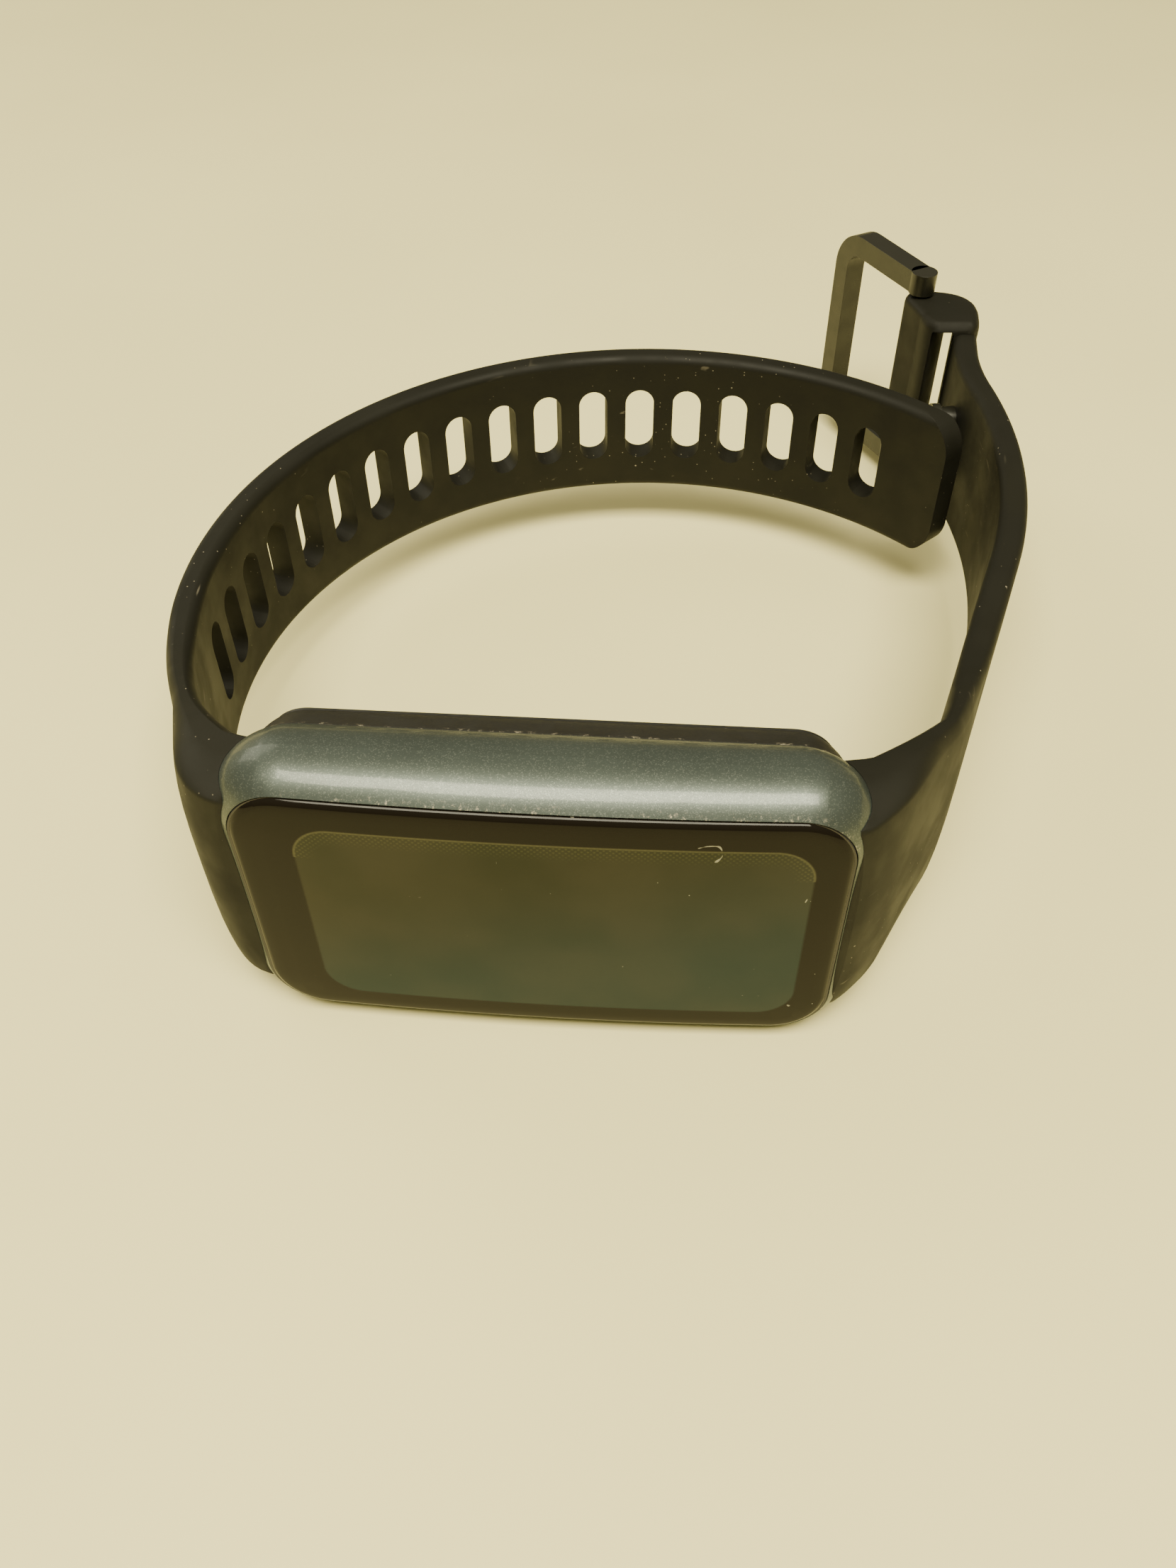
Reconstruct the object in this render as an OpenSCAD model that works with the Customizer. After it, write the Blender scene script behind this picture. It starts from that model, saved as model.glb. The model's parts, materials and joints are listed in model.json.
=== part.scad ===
// Fitness tracker band lying on its long side, display facing -Y, strap width along Z.
// Modules are drawn face up: X along the case, Y across it, Z out of the display.
// place() stands them on the side and puts the origin under the middle of the whole band.

/* [Case] */
// Length of the case between the straps
case_l = 43.2; // [38:0.1:50]
// Width of the case across the strap
case_w = 25.4; // [23:0.1:30]
// Depth from the display plane to the flat back
back_depth = 10.2; // [9.6:0.1:12.5]
// Radius of the case corners seen from the front
corner_r = 5.5; // [5:0.1:6.5]
// Radius of the rounded side band
band_r = 4.6; // [4.3:0.1:5]
// Depth of the widest line of the side band below the display plane
band_depth = 3.0; // [2.8:0.1:3.4]
// Depth of the joint between side band and rear cover
seam_depth = 6.3; // [6:0.1:6.6]
// Thickness of the side band wall
band_wall = 3.0; // [2.8:0.1:3.4]
// Wall of the rear cover
cover_wall = 1.0; // [0.8:0.05:1.3]
// Radius of the lengthwise bow of the front
bow_r = 350; // [250:10:900]

/* [Glass and display] */
// Width of the side band's rim around the glass
rim_w = 1.55; // [1.4:0.05:1.8]
// Gap between the glass edge and the rim
glass_gap = 0.12; // [0.08:0.01:0.2]
// Height of the glass crown above the display plane
crown_h = 0.95; // [0.8:0.05:1.2]
// Radius that rounds the front edge of the glass
glass_edge_r = 0.7; // [0.4:0.05:0.75]
// Length of the lit area
lit_l = 33.15; // [28:0.05:34]
// Width of the lit area
lit_w = 17.47; // [14:0.01:18]
// Shift of the lit area towards the short strap
lit_shift = 0.88; // [0:0.01:0.9]
// Corner radius of the lit area
lit_r = 2.6; // [1:0.1:4]

/* [Straps] */
// Width of both straps along the wrist
strap_w = 14.5; // [12:0.1:16]
// Width of the straps where they meet the case
root_w = 22; // [20:0.1:22.5]
// Thickness of both straps
strap_t = 2.3; // [2:0.1:2.6]
// Length of the long strap along its middle line
long_l = 112; // [90:1:120]
// Radius to which the long strap is curled
curl_r = 36.2; // [33:0.1:45]
// Corner radius at the tip of the long strap
tip_r = 3.5; // [1:0.1:5]
// Number of adjusting slots
slot_count = 18; // [8:1:18]
// Distance between two slots
slot_pitch = 4.79; // [4.4:0.01:5]
// Width of a slot along the strap
slot_w = 2.9; // [2.4:0.1:3.2]
// Length of a slot across the strap
slot_l = 7.5; // [6:0.1:9]
// Distance from the tip to the middle of the last slot
slot_end = 8.6; // [7:0.1:12]
// Distance from the case to the flexing place of both straps
flex_s = 8.5; // [7.5:0.1:9.5]
// Gap between the two sides of a flexing place
flex_gap = 0.3; // [0.25:0.05:0.4]

/* [Strap bars] */
// Radius of the strap bar tube
bar_r = 0.85; // [0.8:0.05:0.95]
// Radius of the bore in the strap bar tube
bar_bore_r = 0.6; // [0.55:0.05:0.6]
// Radius of the bar tips
bar_tip_r = 0.42; // [0.35:0.01:0.45]
// Distance of the bar axis from the case's end
bar_out = 0.8; // [0.7:0.05:0.9]
// Depth of the bar axis below the display plane
bar_depth = 5.4; // [5.2:0.1:5.6]
// Radius of the lug's round end
lug_r = 1.1; // [1:0.05:1.15]
// Thickness of a lug
lug_t = 1.6; // [1.2:0.1:1.8]
// Distance between the inner faces of the two lugs of one end
lug_gap = 16.4; // [15.4:0.1:16.4]
// Travel of the sliding bar tip
bar_travel = 1.3; // [1.1:0.1:1.4]

/* [Buckle] */
// Length of the loop at the end of the short strap
loop_l = 9; // [8:0.1:11]
// Height of the passage through the loop
loop_h = 2.7; // [2.6:0.1:3.2]
// Inner width of the buckle frame
frame_in_w = 17.1; // [15.5:0.1:18.5]
// Width of the buckle frame's rails
rail_w = 2.1; // [1.6:0.1:2.4]
// Thickness of the buckle frame
rail_t = 2.2; // [1.8:0.1:2.4]
// Reach of the buckle frame from the pin to its outer edge
frame_reach = 13.2; // [10:0.1:14]
// Radius of the buckle pin
pin_r = 0.7; // [0.5:0.05:0.8]
// Angle of the buckle frame to the loop as it lies
frame_angle = 36; // [0:1:60]

/* [Side button] */
// Length of the side button
button_l = 9; // [6:0.1:11]
// Height of the side button
button_h = 2.4; // [2:0.1:2.6]
// Travel of the side button
button_travel = 0.3; // [0.2:0.05:0.35]

/* [Clearances] */
// Clearance around pieces that slide or turn
run_gap = 0.05; // [0.03:0.01:0.08]
// Clearance between pieces that are fitted together
fit_gap = 0.1; // [0.05:0.01:0.15]

/* [Hidden] */
$fn = 48;

half_l = case_l / 2;
half_w = case_w / 2;
half_t = strap_t / 2;
cover_l = case_l - 2 * rim_w - 2 * glass_gap; // glass outline
cover_w = case_w - 2 * rim_w - 2 * glass_gap;
cover_r = corner_r - rim_w - glass_gap;
rim_z = 0.45;             // front of the side band at mid length
mask_t = 0.08;            // printed border under the glass
gasket_t = 0.15;          // adhesive ring under the border
seat_z = -mask_t - gasket_t;
cav_l = case_l - 2 * band_wall; // cavity of the case
cav_w = case_w - 2 * band_wall;
cav_r = corner_r - band_wall;
floor_z = -back_depth + cover_wall; // inner face of the rear cover

// --- Board stack, from front to back
panel_t = 0.75;
panel_l = lit_l + 2.3;
panel_w = lit_w + 1.5;
panel_x = lit_shift - 0.35;
tray_z = -1.0;            // front face of the inner frame
tray_t = 0.65;
board_z = -5.45;          // front face of the main board
board_t = 0.7;
board_l = 33;
lip_t = 0.8;              // lip of the rear cover, beside the board
board_w = cav_w - 2 * (fit_gap + lip_t);
screw_x = board_l / 2 - 1.6;
screw_y = board_w / 2 - 1.6;
screw_r = 0.6;
post_r = 1.25;
battery_l = 20;
battery_w = 12.4;
battery_x = -3.6;
sensor_z = -7.85;         // front face of the sensor board
sensor_t = 0.5;
window_l = 12;            // sensor window in the back
window_w = 10;
contact_x = 13;           // charging contacts in the back
contact_y = 3;
contact_r = 1.2;
contact_stem_r = 0.6;

// --- Straps: a place on a middle line is [x, z, heading in degrees]
function advance(p, l, turn) =
  abs(turn) < 0.001
  ? [p[0] + l * cos(p[2]), p[1] + l * sin(p[2]), p[2]]
  : let (r = l / (turn * PI / 180))
    [p[0] + r * (sin(p[2] + turn) - sin(p[2])),
     p[1] - r * (cos(p[2] + turn) - cos(p[2])), p[2] + turn];
function walk(p, segs, s, i = 0) =
  i >= len(segs) ? advance(p, s, 0)
  : s <= segs[i][0] ? advance(p, s, segs[i][1] * s / segs[i][0])
  : walk(advance(p, segs[i][0], segs[i][1]), segs, s - segs[i][0], i + 1);
// Point at l along the heading and n to its left, which is towards the wrist
function beside(p, l, n) =
  [p[0] + l * cos(p[2]) - n * sin(p[2]), p[1] + l * sin(p[2]) + n * cos(p[2])];
function bezier(a, k, b, steps = 10) =
  [for (i = [0 : steps]) let (t = i / steps)
    (1 - t) * (1 - t) * a + 2 * t * (1 - t) * k + t * t * b];
function arc(c, r, a0, a1, steps = 8) =
  [for (i = [0 : steps]) let (a = a0 + (a1 - a0) * i / steps) c + r * [cos(a), sin(a)]];

// Both straps are drawn at the left end, and the short one is mirrored
end_x = -half_l;
long_start = [end_x + 0.2, -4.5, 230];
long_segs = [[long_l, long_l / curl_r * 180 / PI]];
short_start = [end_x - 1.3, -4.4, 234];
short_segs = [[11.6, 18.1], [19.4, 0], [27, 28.9], [7, -16]];
short_l = short_segs[0][0] + short_segs[1][0] + short_segs[2][0] + short_segs[3][0];
long_flex = walk(long_start, long_segs, flex_s);
short_flex = walk(short_start, short_segs, flex_s);
long_tip = walk(long_start, long_segs, long_l);
loop_start = walk(short_start, short_segs, short_l);
bar_x = end_x - bar_out;
bar_len = lug_gap - 2 * fit_gap;

// Loop at the end of the short strap, measured from the strap's middle line
loop_wall = 1.0;
loop_strap_t = 1.6;
loop_skin = 0.7;          // top and bottom walls
loop_out = -half_t - 0.15; // outer face
loop_low = loop_out + loop_strap_t;
loop_high = loop_low + loop_h;
loop_in = loop_high + loop_wall;
loop_round = 4.0;
loop_w = frame_in_w - 2 * 0.25;
barrel_r = pin_r + 0.75;
pin_back = 0.9;           // from the loop's end to the pin
pin_at = beside(loop_start, loop_l - pin_back, loop_high + barrel_r + 0.05);
frame_h = loop_start[2] + frame_angle;
frame_w = frame_in_w + 2 * rail_w;
frame_round = 4;

// Middle of the whole band, which the origin lies under
long_x = long_start[0] - curl_r * sin(long_start[2]) - curl_r - half_t;
short_x = min([for (s = [flex_s : 0.5 : short_l]) beside(walk(short_start, short_segs, s), 0, -half_t)[0]]);
far_z = min(beside([pin_at[0], pin_at[1], frame_h], frame_reach, -rail_t / 2)[1],
            beside([pin_at[0], pin_at[1], frame_h], frame_reach, rail_t / 2)[1]);
mid_x = (long_x - short_x) / 2;
mid_z = (crown_h + far_z) / 2;

module place() translate([-mid_x, mid_z, half_w]) rotate([90, 0, 0]) children();
module other_end() mirror([1, 0, 0]) children();

// --- Shapes that repeat
module slab(l, w, r, z0, z1)
  translate([0, 0, z0]) linear_extrude(z1 - z0) rounded(l, w, r);

module rounded(l, w, r) {
  square([l - 2 * r, w], center = true);
  square([l, w - 2 * r], center = true);
  for (sx = [-1, 1], sy = [-1, 1]) translate([sx * (l / 2 - r), sy * (w / 2 - r)]) circle(r);
}

// Sweeps a profile (distance out from the corner's centre, height) around a rounded rectangle
module around(l, w, r) {
  dx = l / 2 - r;
  dy = w / 2 - r;
  for (k = [0 : 3]) {
    cx = (k == 0 || k == 3) ? dx : -dx;
    cy = (k < 2) ? dy : -dy;
    run = (k % 2 == 0) ? 2 * dx : 2 * dy;
    translate([cx, cy, 0]) rotate([0, 0, 90 * k]) {
      rotate_extrude(angle = 90, $fn = 96) children();
      rotate([90, 0, 90]) mirror([0, 0, 1]) linear_extrude(run) children();
    }
  }
}

// Outer shape of the case from the corner's centre outwards, grown by g
module case_profile(g = 0) {
  intersection() {
    translate([corner_r - band_r, -band_depth]) circle(band_r + g, $fn = 96);
    translate([0, -seam_depth]) square([corner_r + g, seam_depth + 2]);
  }
  cover_profile(g);
}

function seam_r(g = 0) =
  corner_r - band_r + sqrt(pow(band_r + g, 2) - pow(seam_depth - band_depth, 2));
module cover_profile(g = 0)
  polygon(concat(
    bezier([seam_r(g), -seam_depth], [corner_r - 2.2 + g, -back_depth + 0.5 - g],
           [corner_r - 4.7 + g, -back_depth - g], 8),
    [[0, -back_depth - g], [0, -seam_depth]]));

module bow(top)
  rotate([90, 0, 0]) linear_extrude(2 * case_w, center = true)
    polygon(concat([for (i = [-20 : 20]) let (x = i * (half_l + 3) / 20) [x, top - bow_r + sqrt(bow_r * bow_r - x * x)]],
                   [[half_l + 3, -30], [-half_l - 3, -30]]));

module solid_case(g = 0) {
  around(case_l, case_w, corner_r) case_profile(g);
  translate([0, 0, -back_depth / 2])
    cube([case_l - 2 * corner_r, case_w - 2 * corner_r, back_depth + 2 * g], center = true);
}

module lug_shape(g = 0) {
  translate([bar_x, -bar_depth]) circle(lug_r + g);
  translate([bar_x, -bar_depth - lug_r - g]) square([3.2, 2 * lug_r + 2 * g]);
}

module lugs(g = 0)
  for (s = [-1, 1])
    translate([0, s * (lug_gap / 2 + lug_t / 2) + (lug_t + 2 * g) / 2, 0]) rotate([90, 0, 0])
      linear_extrude(lug_t + 2 * g) lug_shape(g);

module across(r, y0, y1) translate([0, y1, 0]) rotate([90, 0, 0]) cylinder(r = r, h = y1 - y0);

// Pill outline with its length along the second axis
module pill(w, l) {
  square([w, l - w], center = true);
  for (s = [-1, 1]) translate([0, s * (l - w) / 2]) circle(w / 2);
}

module at(p) translate([p[0], 0, p[1]]) rotate([0, -p[2], 0]) children();

// --- Case
module mid_case() color([0.30, 0.33, 0.34]) difference() {
  intersection() {
    union() {
      around(case_l, case_w, corner_r) intersection() {
        case_profile();
        translate([corner_r - band_wall, -seam_depth]) square([band_wall, seam_depth + 2]);
      }
      lugs();
      other_end() lugs();
    }
    bow(rim_z);
  }
  slab(case_l - 2 * rim_w, case_w - 2 * rim_w, corner_r - rim_w, seat_z, 3);
  slab(cav_l, cav_w, cav_r, -back_depth, 1);
  around(case_l, case_w, corner_r)
    translate([corner_r - 2.5, -seam_depth - 1]) square([0.7, 1.4]);
  for (s = [0, 1]) mirror([s, 0, 0])
    translate([bar_x, 0, -bar_depth]) across(bar_tip_r + run_gap, -half_w + 1, half_w - 1);
  translate([0, -half_w - 1, -band_depth]) rotate([-90, 0, 0]) {
    linear_extrude(2.1) rotate(90) pill(button_h + 2 * fit_gap, button_l + 2 * fit_gap);
    cylinder(r = button_stem_r + run_gap, h = 6);
    cylinder(r = seal_r, h = 2.1 + seal_t + button_travel);
  }
}

module rear_cover() color([0.07, 0.07, 0.075]) difference() {
  union() {
    around(case_l, case_w, corner_r) difference() {
      cover_profile();
      translate([0, cover_wall]) intersection() {
        cover_profile();
        square([seam_r() - cover_wall - 0.4, 40], center = true);
      }
    }
    translate([0, 0, -back_depth + cover_wall / 2])
      cube([case_l - 2 * corner_r, case_w - 2 * corner_r, cover_wall], center = true);
    around(case_l, case_w, corner_r)
      translate([cav_r - fit_gap - lip_t, -seam_depth - 0.8]) square([lip_t, 1.7]);
  }
  slab(window_l, window_w, window_w / 2 - 0.3, -back_depth - 1, floor_z + 1);
  for (s = [-1, 1]) translate([contact_x, s * contact_y, -back_depth - 1]) {
    cylinder(r = contact_r, h = 1.6);
    cylinder(r = contact_stem_r, h = 4);
  }
  lugs(fit_gap);
  other_end() lugs(fit_gap);
}

module cover_glass() color([0.05, 0.04, 0.04]) intersection() {
  union() {
    around(cover_l, cover_w, cover_r) glass_profile();
    translate([0, 0, 1]) cube([cover_l - 2 * cover_r, cover_w - 2 * cover_r, 2], center = true);
  }
  bow(crown_h);
}

module glass_profile()
  polygon(concat(
    [[0, 0], [cover_r, 0]],
    arc([cover_r - glass_edge_r, crown_h - 0.1 - glass_edge_r], glass_edge_r, 0, 75, 6),
    [[0, 2]]));

module bezel_mask() color([0.02, 0.015, 0.015]) difference() {
  slab(cover_l, cover_w, cover_r, -mask_t, 0);
  translate([lit_shift, 0, 0]) slab(lit_l, lit_w, lit_r, -1, 1);
}

module glass_gasket() color([0.03, 0.03, 0.03]) difference() {
  slab(cover_l, cover_w, cover_r, seat_z, -mask_t);
  slab(cav_l, cav_w, cav_r, -2, 1);
}

module case_gasket() color([0.10, 0.10, 0.11])
  around(case_l, case_w, corner_r)
    translate([corner_r - 2.4, -seam_depth]) square([0.5, 0.4]);

// --- Inside the case
module display_panel() color([0.20, 0.27, 0.22])
  translate([panel_x, 0, 0]) slab(panel_l, panel_w, 2, -mask_t - panel_t, -mask_t);

// Films that join the display, the cell and the sensor board to the main board
flex_t = 0.12;
display_flex_w = 8;
display_flex_x = panel_x - panel_l / 2 + 0.1;
module display_flex() color([0.75, 0.45, 0.10]) translate([display_flex_x, -display_flex_w / 2, 0]) {
  translate([0, 0, -mask_t - panel_t - flex_t]) cube([2, display_flex_w, flex_t]);
  translate([-flex_t, 0, board_z]) cube([flex_t, display_flex_w, -mask_t - panel_t - board_z]);
  translate([-flex_t, 0, board_z]) cube([2.4, display_flex_w, flex_t]);
}

module inner_frame() color([0.13, 0.13, 0.14]) difference() {
  union() {
    translate([0, 0, 0]) slab(cav_l - 2 * fit_gap - 2.4, cav_w - 2 * fit_gap, 2, tray_z - tray_t, tray_z);
    for (sx = [-1, 1], sy = [-1, 1])
      translate([sx * screw_x, sy * screw_y, board_z]) cylinder(r = post_r, h = tray_z - board_z - 0.1);
  }
  slab(22, 9, 1.5, -5, 1);
  translate([-cav_l / 2, -display_flex_w / 2 - fit_gap, board_z])
    cube([display_flex_x + cav_l / 2 + fit_gap, display_flex_w + 2 * fit_gap, -board_z]);
  for (sx = [-1, 1], sy = [-1, 1])
    translate([sx * screw_x, sy * screw_y, board_z - 1]) cylinder(r = screw_r, h = 4);
}

module main_board() color([0.04, 0.22, 0.12]) difference() {
  slab(board_l, board_w, 1.2, board_z - board_t, board_z);
  for (sx = [-1, 1], sy = [-1, 1])
    translate([sx * screw_x, sy * screw_y, board_z - 2]) cylinder(r = screw_r + fit_gap, h = 4);
}

module board_screws() color([0.62, 0.62, 0.64])
  for (sx = [-1, 1], sy = [-1, 1]) translate([sx * screw_x, sy * screw_y, board_z - board_t]) {
    cylinder(r = screw_r, h = board_t + 2.6);
    difference() {
      translate([0, 0, -0.5]) cylinder(r = 1.1, h = 0.5);
      translate([0, 0, -0.5]) cube([1.4, 0.28, 0.5], center = true);
      translate([0, 0, -0.5]) cube([0.28, 1.4, 0.5], center = true);
    }
  }

module shield_can() color([0.70, 0.71, 0.72]) difference() {
  translate([-6.5, 0, 0]) slab(12, 13, 0.8, board_z - board_t - 1.2, board_z - board_t);
  translate([-6.5, 0, 0]) slab(11.6, 12.6, 0.6, board_z - board_t - 1.0, board_z);
}

module board_chips() color([0.06, 0.06, 0.07]) {
  for (c = [[-9, 3, 4, 4], [-9, -3, 3.4, 3.4], [-4, 2.4, 3, 5], [-4, -3.6, 2.6, 2.6]])
    translate([c[0], c[1], board_z - board_t - 0.4]) cube([c[2], c[3], 0.8], center = true);
  for (i = [0 : 4]) translate([3.4, -5 + i * 2.5, board_z - board_t - 0.25]) cube([1.2, 0.7, 0.5], center = true);
}

module battery() color([0.16, 0.17, 0.19]) {
  translate([battery_x, 0, 0]) slab(battery_l, battery_w, 1.4, board_z + 0.05, tray_z - tray_t);
  translate([battery_x + battery_l / 2 + 0.45, 0, board_z + 1.9]) cube([0.9, battery_w - 3, 0.5], center = true);
}

module battery_flex() color([0.78, 0.50, 0.12]) {
  x0 = battery_x + battery_l / 2 + 0.9;
  translate([x0, -2, board_z]) cube([flex_t, 4, 2.15]);
  translate([x0, -2, board_z]) cube([3, 4, flex_t]);
}

module vibration_motor() color([0.66, 0.66, 0.68])
  translate([12.4, 0, board_z + 1.75]) {
    across(1.75, -4.2, 4.2);
    translate([0, 5.0, 0]) difference() {
      across(1.5, -0.4, 0.9);
      translate([0, -2, -2]) cube([2, 4, 4]);
    }
    across(0.35, 4.2, 5.9);
  }

module antenna_flex() color([0.80, 0.62, 0.30])
  translate([-8, cav_w / 2 - 0.25, -4.6]) cube([20, 0.15, 2.8]);

module sensor_board() color([0.05, 0.20, 0.30])
  slab(window_l - 0.4, window_w - 0.4, 3, sensor_z - sensor_t, sensor_z);

module sensor_flex() color([0.78, 0.48, 0.12]) {
  translate([4.0, -1.5, sensor_z]) cube([4.0, 3, flex_t]);
  translate([7.88, -1.5, sensor_z]) cube([flex_t, 3, board_z - board_t - sensor_z]);
}

led_z = sensor_z - sensor_t;
module sensor_leds() color([0.75, 0.95, 0.75])
  for (s = [-1, 1]) translate([s * 1.1, 0, led_z - 0.25]) cube([1.2, 1.0, 0.5], center = true);

module photodiodes() color([0.10, 0.12, 0.20])
  for (s = [-1, 1]) translate([s * 4.1, 0, led_z - 0.2]) cube([1.8, 3.2, 0.4], center = true);

module light_barrier() color([0.03, 0.03, 0.03]) difference() {
  slab(window_l - 0.8, window_w - 0.8, 2.8, floor_z, led_z);
  slab(4.6, 3.4, 0.6, -back_depth, 0);
  for (s = [-1, 1]) translate([s * 4.1, 0, 0]) slab(2.4, 4.2, 0.5, -back_depth, 0);
}

module sensor_window() color([0.02, 0.02, 0.025]) intersection() {
  slab(window_l - fit_gap, window_w - fit_gap, window_w / 2 - 0.3 - fit_gap / 2, -back_depth, floor_z);
  translate([0, 0, -back_depth + 60]) sphere(r = 60, $fn = 360);
}

module charge_contacts() color([0.85, 0.66, 0.28])
  for (s = [-1, 1]) translate([contact_x, s * contact_y, 0]) {
    translate([0, 0, -back_depth]) cylinder(r = contact_r, h = 0.4);
    translate([0, 0, -back_depth]) cylinder(r = contact_stem_r, h = board_z - board_t + back_depth);
  }

module contact_seals() color([0.12, 0.12, 0.13])
  for (s = [-1, 1]) translate([contact_x, s * contact_y, -back_depth + 0.4]) difference() {
    cylinder(r = contact_r, h = 0.2);
    translate([0, 0, -1]) cylinder(r = contact_stem_r, h = 3);
  }

// --- Side button, on the side that the band lies on
button_stem_r = 0.8;
seal_r = 1.15;
seal_t = 0.6;
button_face = -half_w + 0.15;
button_back = -half_w + 1.1 - button_travel - 0.05;
seal_y = -half_w + 1.1;
stem_end = -cav_w / 2 + 0.55;
module side_button() color([0.24, 0.26, 0.27]) translate([0, 0, -band_depth]) difference() {
  union() {
    translate([0, button_face, 0]) rotate([-90, 0, 0])
      linear_extrude(button_back - button_face) rotate(90) pill(button_h, button_l);
    across(button_stem_r, button_back, stem_end);
  }
  difference() {
    across(2, clip_y - clip_t / 2, clip_y + clip_t / 2);
    across(button_stem_r - 0.2, -half_w, 0);
  }
}

module button_seal() color([0.55, 0.16, 0.10]) translate([0, 0, -band_depth]) difference() {
  across(seal_r - 0.02, seal_y + 0.05, seal_y + seal_t - 0.05);
  across(button_stem_r + run_gap, -half_w, 0);
}

clip_t = 0.2;
clip_y = -cav_w / 2 + clip_t / 2 + 0.02;
module button_clip() color([0.70, 0.70, 0.72]) translate([0, 0, -band_depth]) difference() {
  across(1.5, clip_y - clip_t / 2, clip_y + clip_t / 2);
  across(button_stem_r - 0.2, -half_w, 0);
  translate([-0.5, -half_w, 0]) cube([1.0, half_w, 3]);
}

module dome_switch() color([0.72, 0.72, 0.70]) translate([0, 0, -band_depth]) {
  top = stem_end + button_travel + 0.05;
  across(0.7, top, top + 0.3);
  translate([-1.6, top + 0.3, -1.2]) cube([3.2, 0.8, 2.4]);
}

// --- Straps: width by height, wide at the case and narrow from taper_end on
taper_start = 3;
taper_end = 21;
function smooth(t) = t <= 0 ? 0 : t >= 1 ? 1 : t * t * (3 - 2 * t);
function half_width(z) =
  (root_w + (strap_w - root_w) * smooth((-z - taper_start) / (taper_end - taper_start))) / 2;
taper_z = [2, -3, -6, -9, -12, -15, -18, -21, -80];
module taper()
  translate([-100, 0, 0]) rotate([90, 0, 90]) linear_extrude(200)
    polygon(concat([for (z = taper_z) [half_width(z), z]],
                   [for (i = [len(taper_z) - 1 : -1 : 0]) [-half_width(taper_z[i]), taper_z[i]]]));

module extruded() rotate([90, 0, 0]) linear_extrude(root_w + 2, center = true) children();

// Root between case and flexing place: rim point, shoulder and heel shape its two faces
module strap_root(flex, shoulder, heel) difference() {
  intersection() {
    extruded() {
      polygon(concat(
        [[end_x + 4, -0.12]],
        bezier([end_x + 0.9, -0.12], shoulder, beside(flex, 0, -half_t)),
        bezier(beside(flex, 0, half_t), heel, [end_x + 2.2, -seam_depth - 1.1]),
        [[end_x + 4, -seam_depth - 1.1]]));
      translate([flex[0], flex[1]]) circle(half_t);
    }
    taper();
  }
  solid_case(fit_gap / 2);
  lugs(fit_gap);
  translate([bar_x, 0, -bar_depth]) {
    across(bar_r, -lug_gap / 2 - 0.05, lug_gap / 2 + 0.05);
    translate([-0.5, knob_y - bar_travel - 0.7, -6]) cube([1, bar_travel + 1.4, 6]);
  }
}

// Band from the flexing place on, along its middle line
module strap_band(start, segs, total) {
  flex = walk(start, segs, flex_s);
  socket = half_t + flex_gap;
  first = flex_s + flex_gap + 0.7;
  step = (total - first) / 40;
  stations = [for (i = [0 : 40]) first + i * step];
  intersection() {
    extruded() difference() {
      polygon(concat(
        [for (s = stations) beside(walk(start, segs, s), 0, -half_t)],
        [for (i = [40 : -1 : 0]) beside(walk(start, segs, stations[i]), 0, half_t)]));
      translate([flex[0], flex[1]]) circle(socket);
    }
    taper();
  }
}

module long_strap_root() color([0.12, 0.12, 0.12])
  strap_root(long_flex, [end_x - 2.9, -0.7], [end_x - 1.8, -9.4]);

module short_strap_root() color([0.12, 0.12, 0.12])
  other_end() strap_root(short_flex, [end_x - 1.4, -1.6], [end_x - 1.6, -9.2]);

module long_strap() color([0.12, 0.12, 0.12]) difference() {
  strap_band(long_start, long_segs, long_l);
  for (i = [0 : slot_count - 1])
    at(walk(long_start, long_segs, long_l - slot_end - i * slot_pitch))
      linear_extrude(2 * strap_t, center = true) pill(slot_w, slot_l);
  for (s = [-1, 1]) at(long_tip) translate([-tip_r, s * (strap_w / 2 - tip_r), 0]) difference() {
    translate([0, s > 0 ? 0 : -2 * tip_r, -5]) cube([2 * tip_r, 2 * tip_r, 10]);
    cylinder(r = tip_r, h = 20, center = true);
  }
}

module short_strap() color([0.12, 0.12, 0.12]) other_end() difference() {
  union() {
    strap_band(short_start, short_segs, short_l + 0.5);
    rotate([90, 0, 0]) linear_extrude(loop_w, center = true) {
      polygon([for (q = concat(
          [[-2, -half_t + 0.4], [-0.8, loop_out], [loop_l - loop_round, loop_out]],
          arc([loop_l - loop_round, loop_out + loop_round], loop_round, -80, 0, 6),
          [[loop_l, loop_high + 0.4], [loop_l - 0.6, loop_in], [0.6, loop_in], [0, loop_in - 0.5],
           [0, -half_t + 0.4]]))
        beside(loop_start, q[0], q[1])]);
      translate(pin_at) circle(barrel_r);
    }
  }
  at(loop_start) translate([-1, -strap_w / 2 - 0.4, loop_low]) cube([loop_l + 4, strap_w + 0.8, loop_h]);
  translate([pin_at[0], 0, pin_at[1]]) across(pin_r + run_gap, -half_w, half_w);
  at(stud_at) translate([0, 0, -half_t - 0.5]) linear_extrude(0.5 + 0.7) pill(slot_w + 1.5, slot_l + 1.5);
  at(stud_at) translate([0, 0, -half_t]) linear_extrude(strap_t + 1) pill(slot_w - 0.5, slot_l - 0.5);
}

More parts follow.
